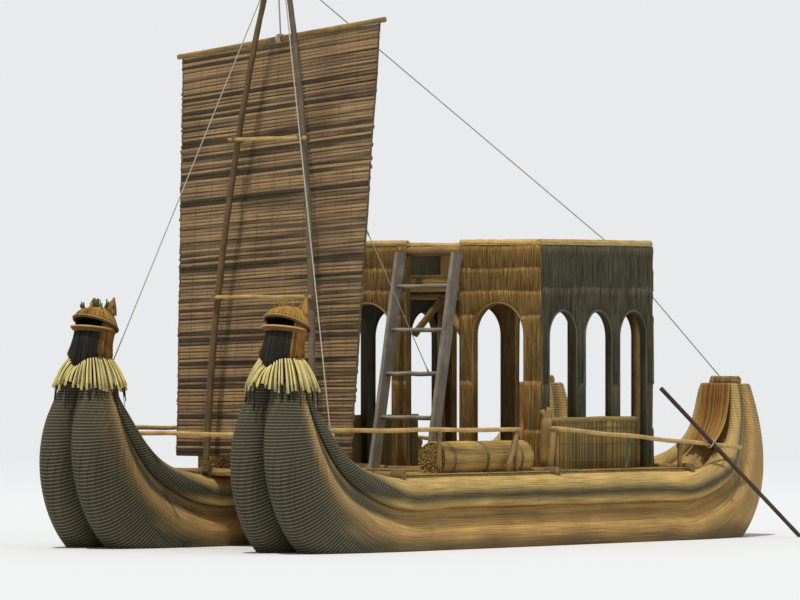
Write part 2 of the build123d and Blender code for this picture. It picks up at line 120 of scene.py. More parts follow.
def reed_material(name, dark, mid, light, stalk=0.009, run=0.5, rib=0.0, deep=(0.20, 0.23, 0.22, 1)):
    """Dry reeds side by side along V: streaks, per-stalk tone, stains and, with rib, rope turns across them,
    with painted shade in their grooves and painted highlights on their crests.

    deep is what the darkest tone multiplies the colour by."""
    net = Net(name)
    uv = net.node("UVMap", uv_map="UVMap").outputs[0]
    spread = net.node("Mapping", Vector=uv, Scale=(1 / stalk, 1 / run, 1)).outputs[0]
    streak = net.node("TexNoise", Vector=spread, Scale=1.0, Detail=4.0, Roughness=0.62).outputs[0]
    colour = net.ramp(streak, ((0.3, srgb(*dark)), (0.5, srgb(*mid)), (0.72, srgb(*light))))
    place = net.node("TexCoord").outputs["Object"]
    darkening = net.node("TexNoise", Vector=place, Scale=2.1, Detail=5.0, Roughness=0.6).outputs[0]
    shade = net.ramp(darkening, ((0.35, (0.7, 0.7, 0.7, 1)), (0.65, (1.0, 1.0, 1.0, 1))))
    colour = net.blend("MULTIPLY", 1.0, colour, shade)
    # The tone attribute holds the reeds' own tone and, on some pieces, painted shade and painted highlights.
    tone = net.node("Attribute", attribute_name="tone").outputs["Fac"]
    tint = net.ramp(tone, ((0.0, deep), (0.5, (1.0, 1.0, 1.0, 1)), (1.0, (1.4, 1.36, 1.24, 1))))
    colour = net.blend("MULTIPLY", 1.0, colour, tint)
    across = net.node("SeparateXYZ", Vector=uv).outputs
    wobble = net.math("MULTIPLY", streak, 2.5)
    turns = net.math("ADD", net.math("MULTIPLY", across[0], math.pi / stalk), wobble)
    height = net.math("ABSOLUTE", net.math("SINE", turns))
    if rib:
        ridge = net.math("ABSOLUTE", net.math("SINE", net.math("MULTIPLY", across[1], math.pi / rib)))
        lashed = net.node("Attribute", attribute_name="lashed").outputs["Fac"]
        # Painted shade darkens the grooves between the rope turns, and painted highlights pale their crests.
        groove = net.math("MULTIPLY", net.math("POWER", net.math("SUBTRACT", 1.0, ridge), 1.6), lashed)
        crest = net.math("MULTIPLY", net.math("MULTIPLY", net.math("POWER", ridge, 9.0), streak), lashed)
        colour = net.blend("MIX", net.math("MULTIPLY", groove, 0.40), colour, srgb(70, 62, 44))
        colour = net.blend("MIX", net.math("MULTIPLY", crest, 0.60), colour, srgb(196, 184, 148))
    net.feed(colour, net.shader.inputs["Base Color"])
    bumped = net.node("Bump", Height=height, Strength=0.5, Distance=0.004)
    net.feed(bumped.outputs[0], net.shader.inputs["Normal"])
    net.shader.inputs["Roughness"].default_value = 0.78
    net.shader.inputs["Specular IOR Level"].default_value = 0.3
    return net.mat


def wood_material(name, dark, mid, light):
    """Weathered wood with grain along V, knots and worn pale patches."""
    net = Net(name)
    uv = net.node("UVMap", uv_map="UVMap").outputs[0]
    spread = net.node("Mapping", Vector=uv, Scale=(1 / GRAIN, 1 / GRAIN_RUN, 1)).outputs[0]
    fibre = net.node("TexNoise", Vector=spread, Scale=1.0, Detail=6.0, Roughness=0.7).outputs[0]
    colour = net.ramp(fibre, ((0.28, srgb(*dark)), (0.5, srgb(*mid)), (0.74, srgb(*light))))
    place = net.node("TexCoord").outputs["Object"]
    wear = net.node("TexNoise", Vector=place, Scale=6.0, Detail=4.0, Roughness=0.6).outputs[0]
    shade = net.ramp(wear, ((0.35, (0.68, 0.66, 0.62, 1)), (0.68, (1.08, 1.06, 1.02, 1))))
    colour = net.blend("MULTIPLY", 1.0, colour, shade)
    net.feed(colour, net.shader.inputs["Base Color"])
    bumped = net.node("Bump", Height=fibre, Strength=0.35, Distance=0.003)
    net.feed(bumped.outputs[0], net.shader.inputs["Normal"])
    net.feed(net.math("ADD", net.math("MULTIPLY", wear, 0.2), 0.6), net.shader.inputs["Roughness"])
    net.shader.inputs["Specular IOR Level"].default_value = 0.3
    return net.mat


def rope_material(name, dark, light, pitch=0.012):
    """Laid rope: strands slanting round the line."""
    net = Net(name)
    uv = net.node("UVMap", uv_map="UVMap").outputs[0]
    parts = net.node("SeparateXYZ", Vector=uv).outputs
    along = net.math("MULTIPLY", parts[1], math.tau / pitch)
    slant = net.math("ADD", net.math("MULTIPLY", parts[0], 90.0), along)
    strand = net.math("ABSOLUTE", net.math("SINE", slant))
    colour = net.ramp(strand, ((0.1, srgb(*dark)), (0.7, srgb(*light))))
    fuzz = net.node("TexNoise", Scale=160.0, Detail=2.0).outputs[0]
    shade = net.ramp(fuzz, ((0.3, (0.7, 0.7, 0.7, 1)), (0.7, (1.1, 1.1, 1.1, 1))))
    colour = net.blend("MULTIPLY", 0.5, colour, shade)
    net.feed(colour, net.shader.inputs["Base Color"])
    bumped = net.node("Bump", Height=strand, Strength=0.6, Distance=0.002)
    net.feed(bumped.outputs[0], net.shader.inputs["Normal"])
    net.shader.inputs["Roughness"].default_value = 0.85
    return net.mat


OLIVE = (0.085, 0.125, 0.19, 1)  # what the lowest tone multiplies the hull and roll reeds' colour by: the olive of the painted shade on the hull skins
HULL = reed_material(
    "hull_reed", (124, 92, 46), (186, 146, 84), (218, 184, 118), rib=RIB_PITCH, run=0.7, deep=OLIVE
)
ROLL = reed_material(
    "roll_reed", (134, 104, 52), (198, 164, 96), (228, 202, 138), rib=RIB_PITCH, deep=OLIVE
)
THATCH = reed_material("thatch_reed", (92, 66, 30), (164, 128, 70), (216, 184, 114), stalk=0.006, run=0.25)
# A copy of the thatch with painted shade: darker and greener, for the side walls and rear panels.
SHADE_THATCH = reed_material(
    "shade_thatch", (52, 49, 38), (96, 91, 70), (134, 127, 98), stalk=0.006, run=0.25
)
MAT = reed_material("mat_reed", (122, 98, 48), (180, 150, 88), (214, 188, 124), stalk=0.008)
RUFF = reed_material("ruff_reed", (178, 154, 88), (232, 214, 142), (246, 236, 184), stalk=0.012, run=0.2)
# Painted shade: reeds as dark as the shaded front of the neck; strands and mouth linings use it too.
NECK = reed_material("neck_reed", (22, 20, 16), (44, 40, 32), (78, 70, 54), stalk=0.008, run=0.3)
MANE = reed_material("mane_reed", (84, 52, 22), (158, 108, 50), (214, 166, 92), stalk=0.007, run=0.3)
CROWN = reed_material("crown_reed", (98, 66, 30), (184, 138, 66), (234, 200, 120), stalk=0.007, run=0.3)
GREEN = reed_material("green_tufts", (44, 56, 22), (84, 100, 40), (136, 142, 66), stalk=0.006, run=0.2)
SAILREED = reed_material("sail_reed", (106, 82, 56), (156, 127, 92), (206, 176, 132), stalk=0.006, run=0.5)
FACING = reed_material("facing_reed", (120, 80, 34), (170, 122, 60), (206, 158, 88), stalk=0.012, run=0.6)
POLE = wood_material("pole_wood", (104, 78, 42), (158, 126, 74), (196, 168, 112))
RAILWOOD = wood_material("rail_wood", (140, 108, 58), (202, 168, 104), (230, 204, 150))
DARKPOLE = wood_material("mast_wood", (66, 52, 34), (110, 88, 58), (146, 122, 84))
GREYPOLE = wood_material("grey_mast_wood", (70, 60, 48), (114, 100, 82), (154, 140, 120))
PLANK = wood_material("grey_plank", (104, 98, 88), (156, 148, 136), (196, 190, 178))
OARWOOD = wood_material("oar_wood", (44, 34, 26), (78, 62, 48), (116, 96, 76))
RIM = reed_material("rim_reed", (166, 128, 64), (228, 194, 122), (246, 224, 166), stalk=0.008, run=0.3)
GREENROPE = rope_material("green_cord", (40, 92, 70), (96, 160, 124), pitch=0.006)
ROPE = rope_material("pale_rope", (120, 112, 92), (212, 204, 184))
TWINE = rope_material("twine", (84, 70, 42), (150, 130, 84), pitch=0.006)


# Meshes


def piece(name, verts, faces, mat, body, replaced=(), uvs=None, tone=None, lashed=None, smooth=True):
    """One finished mesh of the boat, with its material, its body and what it stands for."""
    mesh = bpy.data.meshes.new(name)
    corners_of = [tuple(int(i) for i in face) for face in faces]
    mesh.from_pydata([tuple(v) for v in np.asarray(verts, float)], [], corners_of)
    mesh.materials.append(mat)
    if smooth:
        mesh.polygons.foreach_set("use_smooth", [True] * len(mesh.polygons))
    if uvs is not None:
        corners = np.zeros(len(mesh.loops), np.int32)
        mesh.loops.foreach_get("vertex_index", corners)
        layer = mesh.uv_layers.new(name="UVMap")
        layer.data.foreach_set("uv", np.asarray(uvs, np.float32)[corners].ravel())
    for label, values in (("tone", tone), ("lashed", lashed)):
        if values is None:
            values = np.full(len(mesh.vertices), 0.5 if label == "tone" else 0.0)
        made = mesh.attributes.new(label, "FLOAT", "POINT")
        made.data.foreach_set("value", np.asarray(values, np.float32))
    mesh.update()
    obj = bpy.data.objects.new(name, mesh)
    SCENE.collection.objects.link(obj)
    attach(obj, body)
    if replaced:
        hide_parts(*replaced)
    return obj


class Heap:
    """Vertices, faces, UVs and tones of many small solids that make one piece."""

    def __init__(self):
        self.verts, self.faces, self.uvs, self.tones = [], [], [], []
        self.count = 0

    def add(self, verts, faces, uvs, tone=0.5):
        size = len(verts)
        self.verts.append(np.asarray(verts, float))
        self.faces += [tuple(i + self.count for i in face) for face in faces]
        self.uvs.append(np.asarray(uvs, float))
        self.tones.append(np.broadcast_to(np.asarray(tone, float), (size,)))
        self.count += size

    def make(self, name, mat, body, replaced=(), smooth=True):
        verts, uvs, tones = (np.concatenate(rows) for rows in (self.verts, self.uvs, self.tones))
        return piece(name, verts, self.faces, mat, body, replaced, uvs, tones, smooth=smooth)


def tube_faces(rings, around):
    """Quads between closed rings of the same number of points, and a face over each end."""
    faces = []
    for ring in range(rings - 1):
        for step in range(around):
            a = ring * around + step
            b = ring * around + (step + 1) % around
            faces.append((a, b, b + around, a + around))
    faces.append(tuple(range(around))[::-1])
    faces.append(tuple((rings - 1) * around + i for i in range(around)))
    return faces


def frames_along(points):
    """Two unit vectors across a line of points at each one, without twist."""
    points = np.asarray(points, float)
    runs = np.gradient(points, axis=0)
    runs /= np.linalg.norm(runs, axis=1, keepdims=True)
    first = np.cross(runs[0], (0.0, 0.0, 1.0))
    if np.linalg.norm(first) < 0.1:
        first = np.cross(runs[0], (0.0, 1.0, 0.0))
    sides, ups = [], []
    side = first / np.linalg.norm(first)
    for run in runs:
        side = side - run * np.dot(side, run)
        side /= np.linalg.norm(side)
        sides.append(side.copy())
        ups.append(np.cross(side, run))
    return np.array(sides), np.array(ups)


def tube(points, radii, around=8):
    """A round tube along points: vertices, faces and UVs in metres."""
    points = np.asarray(points, float)
    radii = np.broadcast_to(np.asarray(radii, float), (len(points),))
    sides, ups = frames_along(points)
    angles = np.linspace(0, math.tau, around, endpoint=False)
    verts = (
        points[:, None, :]
        + radii[:, None, None] * np.cos(angles)[None, :, None] * sides[:, None, :]
        + radii[:, None, None] * np.sin(angles)[None, :, None] * ups[:, None, :]
    ).reshape(-1, 3)
    lengths = np.concatenate([[0], np.cumsum(np.linalg.norm(np.diff(points, axis=0), axis=1))])
    size = float(radii.mean())
    uvs = np.stack([np.tile(angles * size, len(points)), np.repeat(lengths, around)], 1)
    return verts, tube_faces(len(points), around), uvs


def line(start, end, count, bow=(0, 0, 0)):
    """Points from start to end, bowed sideways in the middle."""
    share = np.linspace(0, 1, count)[:, None]
    start, end, bow = (np.asarray(place, float) for place in (start, end, bow))
    return (1 - share) * start + share * end + np.sin(math.pi * share) * bow


# Hulls: the bundles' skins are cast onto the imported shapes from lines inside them

# Each row: x and z of the section's middle, slope in degrees, half height, half width, gunwale radius, lashing
AMIDSHIPS = (0.080, 0.0, 0.440, 0.600, 0.140)  # all but x and lashing
STATIONS = np.array(
    [
        (6.790, 1.500, -88.0, 0.150, 0.205, 0.054, 1.0),
        (6.810, 1.080, -84.0, 0.235, 0.290, 0.072, 1.0),
        (6.660, 0.660, -64.0, 0.350, 0.400, 0.098, 1.0),
        (6.280, 0.310, -36.0, 0.430, 0.520, 0.125, 0.5),
        (5.450, *AMIDSHIPS, 0.05),
        (4.950, *AMIDSHIPS, 0.0),
        (4.200, *AMIDSHIPS, 0.0),
        (3.300, *AMIDSHIPS, 0.0),
        (2.400, *AMIDSHIPS, 0.0),
        (1.550, *AMIDSHIPS, 0.1),
        (0.980, *AMIDSHIPS, 0.5),
        (0.480, 0.190, 30.0, 0.460, 0.570, 0.130, 1.0),
        (0.045, 0.485, 57.0, 0.444, 0.500, 0.112, 1.0),
        (-0.172, 0.901, 81.0, 0.356, 0.430, 0.092, 1.0),
        (-0.215, 1.280, 92.0, 0.225, 0.340, 0.066, 1.0),
        (-0.175, 1.570, 96.0, 0.178, 0.222, 0.050, 1.0),
    ]
)
BUNDLE_SHARE = 0.46
SEAT_MIDDLE = math.radians(60.0)
RIB_HEIGHT = 0.0045
BOW_START, BOW_FADE = 0.9, 0.7  # painted shade on the bows begins here and is at its darkest this far ahead
COARSE_STEP = 0.045  # between rings where the hull isn't lashed
WATER_SHADE_TOP, WATER_SHADE_DEPTH = 0.21, 0.14  # painted shade darkens the reeds below this height, near the water


def smooth_rows(table, places):
    """Rows of a table read at fractions of its rows, by cubic steps through every row."""
    rows = []
    last = len(table) - 1
    for place in places:
        at = min(int(place), last - 1)
        t = place - at
        before, a, b, after = (table[min(max(at + k, 0), last)] for k in (-1, 0, 1, 2))
        rows.append(
            0.5
            * (
                2 * a
                + (b - before) * t
                + (2 * before - 5 * a + 4 * b - after) * t**2
                + (3 * a - before - 3 * b + after) * t**3
            )
        )
    return np.array(rows)


def down_from(row):
    """The direction in a station's plane from its middle towards the keel."""
    turn = math.radians(row[2])
    return np.array((-math.sin(turn), 0.0, -math.cos(turn)))


def ring_places(middle_of):
    """Where the rings lie, as fractions of station rows, and how far each is along the skin's own line.

    Four rings cover each turn of rope where the hull is lashed, and the rest are wide apart."""
    dense = np.linspace(0, len(STATIONS) - 1.0001, 4000)
    rows = smooth_rows(STATIONS, dense)
    middles = np.array([middle_of(row)[0] for row in rows])
    lengths = np.concatenate([[0], np.cumsum(np.linalg.norm(np.diff(middles, axis=0), axis=1))])
    step = RIB_PITCH / 4
    targets, at = [0.0], 0.0
    while at < lengths[-1] - COARSE_STEP:
        lashed = np.interp(at, lengths, rows[:, 6])
        at += step if lashed > 0.12 else step * round(COARSE_STEP / step)
        targets.append(at)
    return np.interp(targets, lengths, dense), targets


def cast_skin(name, node, middle_of, marks, around, flutes, mat):
    """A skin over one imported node, with reed flutes and rope turns, as a closed tube."""
    tree = BVHTree.FromObject(NODES[node], bpy.context.evaluated_depsgraph_get())
    places, lengths = ring_places(middle_of)
    rings, uvs, lash, tones = [], [], [], []
    rng = np.random.default_rng(len(name) * 7 + 3)
    phases = rng.uniform(0, math.tau, 6)
    for row, length in zip(smooth_rows(STATIONS, places), lengths):
        middle, reach, down = middle_of(row)
        rib = abs(math.sin(math.pi * length / RIB_PITCH)) ** 0.7
        bow = max(0.0, min(1.0, (BOW_START - row[0]) / BOW_FADE))
        ring = []
        for step in range(around):
            angle = math.tau * step / around
            ray = math.cos(angle) * np.array((0.0, 1.0, 0.0)) + math.sin(angle) * down
            hit = tree.ray_cast(Vector(middle), Vector(ray), 2.0)[0]
            point = np.array(hit) if hit is not None else middle + ray * reach
            wander = 0.5 * math.sin(length * 1.1 + phases[1])
            flute = 0.0016 * math.sin(angle * flutes + phases[0] + wander)
            flute += 0.0012 * math.sin(angle * (flutes * 2 // 3) + phases[3] - wander)
            swell = 0.0025 * math.sin(length * 2.3 + phases[2] + 2 * angle)
            # mark adds painted shade and painted highlights to the tone, and dents or swells the skin with
            # them.
            mark = marks(angle)
            belly = 0.06 * mark if mark > 0 else 0.012 * mark
            ring.append(point + ray * (flute + swell + belly + RIB_HEIGHT * row[6] * (rib - 0.7)))
            uvs.append((angle * reach, length))
            lash.append(min(1.0, max(0.0, row[6])))
            # Painted shade: the reeds darken below a wavy height over the water.
            darkening = WATER_SHADE_TOP + 0.02 * math.sin(length * 5 + phases[5])
            water_shade = min(1.0, max(0.0, (darkening - point[2]) / WATER_SHADE_DEPTH))
            patch = 0.06 * math.sin(length * 3.1 + phases[4]) * math.sin(angle * 2 + phases[5])
            # Painted shade on the bows: darker ahead of BOW_START, most on the faces turned down and ahead.
            ahead = (0.5 + 0.5 * math.sin(angle)) ** 0.7
            tones.append(0.66 - bow * (0.38 + 0.34 * ahead) - 0.50 * water_shade * (1 - 0.5 * bow) + patch + mark)
        rings.append(ring)
    verts = np.array(rings).reshape(-1, 3)
    faces = tube_faces(len(rings), around)
    return piece(name, verts, faces, mat, BOAT, (node,), uvs, tones, lash)


def near_angle(angle, centre, width):
    """One at an angle, falling to nought about one width to either side."""
    off = (angle - centre + math.pi) % math.tau - math.pi
    return math.exp(-((off / width) ** 2))


def hull_skins():
    """The two bundles and two gunwale rolls of both hulls."""
    for hull, hull_side in SIDES:
        for place, side in (("outer", hull_side), ("inner", -hull_side)):

            def bundle_middle(row, hull_side=hull_side, side=side):
                middle = np.array((row[0], hull_side * HULL_Y + side * BUNDLE_SHARE * row[4], row[1]))
                return middle, (row[3] + row[4] * (1 - BUNDLE_SHARE)) / 2, down_from(row)

            def roll_middle(row, hull_side=hull_side, side=side):
                reach = row[4] * (1 - BUNDLE_SHARE)
                out = BUNDLE_SHARE * row[4] + reach * math.cos(SEAT_MIDDLE) + 0.42 * row[5]
                up = row[3] * math.sin(SEAT_MIDDLE) + 0.42 * row[5]
                middle = np.array((row[0], hull_side * HULL_Y + side * out, row[1])) - down_from(row) * up
                return middle, row[5], down_from(row)

            def bundle_marks(angle, side=side):
                """Painted shade under the gunwale roll, and a painted highlight on the bundle below it."""
                seam = -0.66 if side > 0 else math.pi + 0.66
                lit_band = -0.30 if side > 0 else math.pi + 0.30
                return 0.40 * near_angle(angle, lit_band, 0.24) - 0.40 * near_angle(angle, seam, 0.13)

            def roll_marks(angle, side=side):
                """A roll has a painted highlight on top and painted shade where it lies on its bundle."""
                under = 0.20 if side > 0 else math.pi - 0.20
                return 0.12 * near_angle(angle, -math.pi / 2, 0.8) - 0.62 * near_angle(angle, under, 0.50)

            node = f"{hull}_{place}_bundle"
            cast_skin(f"{node}_reeds", node, bundle_middle, bundle_marks, 56, 15, HULL)
            node = f"{hull}_{place}_gunwale"
            cast_skin(f"{node}_reeds", node, roll_middle, roll_marks, 28, 7, ROLL)


hull_skins()


# Shapes read from the frame


def node_points(node):
    """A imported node's mesh points; its object sits at the origin."""
    mesh = NODES[node].data
    points = np.empty(len(mesh.vertices) * 3)
    mesh.vertices.foreach_get("co", points)
    return points.reshape(-1, 3)


def islands(node):
    """The points of each separate solid of a node."""
    mesh = NODES[node].data
    unique, index = np.unique(np.round(node_points(node), 5), axis=0, return_inverse=True)
    ends = np.empty(len(mesh.edges) * 2, np.int32)
    mesh.edges.foreach_get("vertices", ends)
    pairs = index.ravel()[ends].reshape(-1, 2)
    labels = np.arange(len(unique))
    while True:
        before = labels.copy()
        low = np.minimum(labels[pairs[:, 0]], labels[pairs[:, 1]])
        np.minimum.at(labels, pairs[:, 0], low)
        np.minimum.at(labels, pairs[:, 1], low)
        labels = labels[labels]
        if (labels == before).all():
            return [unique[labels == label] for label in np.unique(labels)]


def pole_line(points):
    """A straight pole's two ends and its radius, from points on its surface."""
    middle = (points.min(axis=0) + points.max(axis=0)) / 2
    run = np.linalg.svd(points - points.mean(axis=0))[2][0]
    if run[np.argmax(np.abs(run))] < 0:
        run = -run
    along = (points - middle) @ run
    across = points - middle - along[:, None] * run
    radius = float(np.median(np.linalg.norm(across, axis=1)))
    return middle + along.min() * run, middle + along.max() * run, radius


def knotty(start, end, radius, rng, wobble=0.004, taper=0.06):
    """Points and radii of a slightly crooked pole, thinner at its far end."""
    start, end = np.asarray(start, float), np.asarray(end, float)
    length = float(np.linalg.norm(end - start))
    count = max(5, int(length / 0.1))
    share = np.linspace(0, 1, count)
    points = line(start, end, count)
    sides, ups = frames_along(points)
    for way in (sides, ups):
        turns, phase = rng.uniform(1.0, 3.0), rng.uniform(0, math.tau)
        sway = wobble * np.sin(share * math.tau * turns + phase) * np.sin(math.pi * share)
        points = points + way * sway[:, None]
    radii = radius * (1 + taper / 2 - taper * share + rng.normal(0, 0.018, count))
    return points, radii


def round_poles(node, mat, body=BOAT, wobble=0.004, slim=1.0):
    """Every pole of a node as a crooked natural one."""
    rng = np.random.default_rng(sum(map(ord, node)))
    heap = Heap()
    for points in islands(node):
        start, end, radius = pole_line(points)
        run, radii = knotty(start, end, radius * slim, rng, wobble)
        heap.add(*tube(run, radii, 12), tone=rng.uniform(0.35, 0.65))
    return heap.make(f"{node}_poles", mat, body, (node,))


def dressed(node, mat, along=(0, 0, 1), bevel=0.0, tone=0.5):
    """A node's own shape, with its reeds or grain along one direction and its edges rounded."""
    mesh = NODES[node].data.copy()
    mesh.materials.clear()
    mesh.materials.append(mat)
    for layer in list(mesh.uv_layers):
        mesh.uv_layers.remove(layer)
    layer = mesh.uv_layers.new(name="UVMap")
    run = Vector(along).normalized()
    for poly in mesh.polygons:
        poly.material_index = 0
        side = run.cross(poly.normal)
        if side.length < 0.3:
            side = run.orthogonal()
        side.normalize()
        for corner in poly.loop_indices:
            point = mesh.vertices[mesh.loops[corner].vertex_index].co
            layer.data[corner].uv = (side.dot(point), run.dot(point))
    for label, value in (("tone", tone), ("lashed", 0.0)):
        made = mesh.attributes.new(label, "FLOAT", "POINT")
        made.data.foreach_set("value", np.full(len(mesh.vertices), value, np.float32))
    obj = bpy.data.objects.new(f"{node}_dressed", mesh)
    SCENE.collection.objects.link(obj)
    if bevel:
        made = obj.modifiers.new("rounding", "BEVEL")
        made.width = bevel
        made.segments = 2
        made.limit_method = "ANGLE"
    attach(obj, BOAT)
    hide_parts(node)
    return obj


def reed(heap, points, radius, rng, around=5, tone=None):
    """One reed along a few points, thinner to its tip, added to a heap."""
    radii = radius * np.linspace(1.0, 0.75, len(points))
    value = rng.uniform(0.15, 0.9) if tone is None else tone
    heap.add(*tube(points, radii, around), tone=value)


def ring_line(centre, radius, normal, count):
    """Points on a circle about a centre, across a normal; angle 0 is the side nearest to +X."""
    normal = np.asarray(normal, float) / np.linalg.norm(normal)
    first = np.array((1.0, 0, 0)) - normal * normal[0]
    if np.linalg.norm(first) < 0.1:
        first = np.array((0, 1.0, 0)) - normal * normal[1]
    first /= np.linalg.norm(first)
    second = np.cross(normal, first)
    angles = np.linspace(0.0, math.tau, count)[:, None]
    return np.asarray(centre) + radius * (np.cos(angles) * first + np.sin(angles) * second)


def coil(heap, start, end, radius, rope, turns, rng, tone=0.5):
    """A rope wound round a pole between two points on its line."""
    start, end = np.asarray(start, float), np.asarray(end, float)
    count = max(12, int(turns * 12))
    share = np.linspace(0, 1, count)
    points = start + share[:, None] * (end - start)
    sides, ups = frames_along(points)
    angles = share * turns * math.tau + rng.uniform(0, math.tau)
    points = points + (radius + rope * 0.6) * (np.cos(angles)[:, None] * sides + np.sin(angles)[:, None] * ups)
    heap.add(*tube(points, rope, 6), tone=tone)


# Bow heads: ruff, neck, jaws, crown, ears, mane and tufts

THROAT, THROAT_RADIUS = np.array((-0.130, 0.0, 1.750)), 0.176
NECK_RADIUS = 0.160
BRIM_MIDDLE, BRIM_RADIUS, BRIM_SLOPE = np.array((-0.045, 0.0, 2.082)), 0.205, 0.40
LIP_MIDDLE, LIP_RADIUS, LIP_SLOPE = np.array((-0.085, 0.0, 2.030)), 0.200, 0.16
APEX = np.array((0.010, 0.0, 2.238))
RUFF_RADIUS, RUFF_BOTTOM = 0.335, 1.475
MANE_REACH = 2.10  # radians to either side of the back of the neck
RUFF_LAYERS = ((0, 50, 0.0125), (1, 54, 0.0115))  # layer, number of reeds and their radius
RUFF_NOTCH, NECK_NOTCH = 0.42, 0.50  # radians: of the ruff's dip and of the neck reeds' point in front
RUFF_STRANDS, STRAND_OUT = 46, 0.315
NECK_REEDS, EAR_REEDS = 92, 16
CROWN_LAYERS = ((0, 88), (1, 70))  # layer and number of reeds
LINING_POINTS, LINING_IN = 48, 0.012  # round a jaw's lining, and how far inside the rim it starts
BRIM_ROLL, BRIM_LIP, LIP_ROLL, LIP_REED = 0.0115, 0.0055, 0.0085, 0.0095  # radii of what edges the jaws
BRIM_REACH, LIP_REACH = 1.95, 1.80  # radians to either side of the front that a pale lip covers
LIP_STEPS = (0.0, 0.013, 0.026)  # how far in from the lower lip each reed under it lies
UP = np.array((0.0, 0.0, 1.0))


def spoke(angle):
    """A level unit vector; angle 0 points aft and a half turn points ahead of the bow."""
    return np.array((math.cos(angle), math.sin(angle), 0.0))


def front_share(angle, width):
    """One at the very front of the head, falling to nought about one width to either side."""
    return math.exp(-((((angle % math.tau) - math.pi) / width) ** 2))


def rim_point(middle, radius, slope, angle, out=0.0, lift=0.0):
    """A point on a jaw's rim, whose plane rises towards the bow."""
    way = spoke(angle)
    return middle + way * (radius + out) + UP * (lift - slope * (radius + out) * way[0])


def curve(start, bend, end, count=6):
    """Points on the smooth curve from start to end that is drawn towards bend."""
    share = np.linspace(0, 1, count)[:, None]
    return (1 - share) ** 2 * start + 2 * share * (1 - share) * bend + share**2 * end


def ruff_reeds(hull, middle, rng):
    """Two layers of thick cut reeds, shorter over the groove between the hull's bundles."""
    ruff = Heap()
    strands = Heap()
    throat = THROAT + middle
    for layer, count, radius in RUFF_LAYERS:
        for index in range(count):
            angle = math.tau * (index + 0.5 * layer) / count + rng.normal(0, 0.015)
            notch = front_share(angle, RUFF_NOTCH)
            way = spoke(angle)
            top = throat + way * (THROAT_RADIUS + 0.020 - 0.012 * layer) + UP * (0.022 - 0.075 * notch)
            foot = RUFF_BOTTOM + 0.055 * notch + rng.uniform(-0.020, 0.040)
            spread = RUFF_RADIUS * rng.uniform(0.90, 1.05) - 0.022 * layer
            bottom = np.array((throat[0], throat[1], foot)) + way * spread
            bend = 0.5 * (top + bottom) + way * 0.020 + UP * 0.030
            points = curve(top, bend, bottom)
            # Painted shade: the inner layer, under the outer reeds, is darker.
            tone = rng.uniform(0.55, 1.0) if layer == 0 else rng.uniform(0.05, 0.5)
            radii = radius * np.linspace(0.62, 1.0, 6) * rng.uniform(0.85, 1.1)
            ruff.add(*tube(points, radii, 7), tone=tone)
    for _ in range(RUFF_STRANDS):
        angle = rng.uniform(0, math.tau)
        top = np.array((throat[0], throat[1], RUFF_BOTTOM + 0.06)) + spoke(angle) * STRAND_OUT
        bottom = top + spoke(angle) * 0.020 - UP * rng.uniform(0.10, 0.26)
        size = rng.uniform(0.003, 0.006)
        reed(strands, line(top, bottom, 4), size, rng, around=4, tone=rng.uniform(0.0, 0.5))
    ruff.make(f"{hull}_ruff_reeds", RUFF, BOAT, (f"{hull}_ruff",))
    strands.make(f"{hull}_ruff_strands", NECK, BOAT)


def neck_reeds(hull, middle, rng):
    """Reeds down the front of the neck, dark with painted shade, ending in a point over the ruff, and a mane
    down the rest.
    """
    dressed(f"{hull}_neck", NECK, tone=0.2)
    hair = Heap()
    mane = Heap()
    throat = THROAT + middle
    for index in range(NECK_REEDS):
        angle = math.tau * index / NECK_REEDS + rng.normal(0, 0.012)
        way = spoke(angle)
        notch = front_share(angle, NECK_NOTCH)
        head = rim_point(LIP_MIDDLE + middle, NECK_RADIUS - 0.004, LIP_SLOPE, angle, lift=-0.012)
        tail = throat + way * (THROAT_RADIUS + 0.012 + 0.022 * notch) + UP * (0.010 - 0.085 * notch)
        points = line(head, tail, 5, way * rng.uniform(-0.002, 0.004))
        reed(hair, points, rng.uniform(0.007, 0.0105), rng, tone=rng.uniform(0.15, 0.75))
        if abs((angle + math.pi) % math.tau - math.pi) > MANE_REACH:
            continue
        for strand in range(3):
            turn = angle + 0.022 * strand
            twist = spoke(turn)
            head = rim_point(BRIM_MIDDLE + middle, BRIM_RADIUS - 0.020, BRIM_SLOPE, turn, lift=-0.006)
            reach = THROAT_RADIUS + 0.016 + 0.010 * strand
            tail = throat + twist * reach + UP * rng.uniform(0.0, 0.075)
            bend = 0.5 * (head + tail) - twist * 0.030
            size = rng.uniform(0.0045, 0.0075)
            reed(mane, curve(head, bend, tail, 5), size, rng, tone=rng.uniform(0.2, 0.9))
    hair.make(f"{hull}_neck_reeds", NECK, BOAT)
    mane.make(f"{hull}_mane", MANE, BOAT)


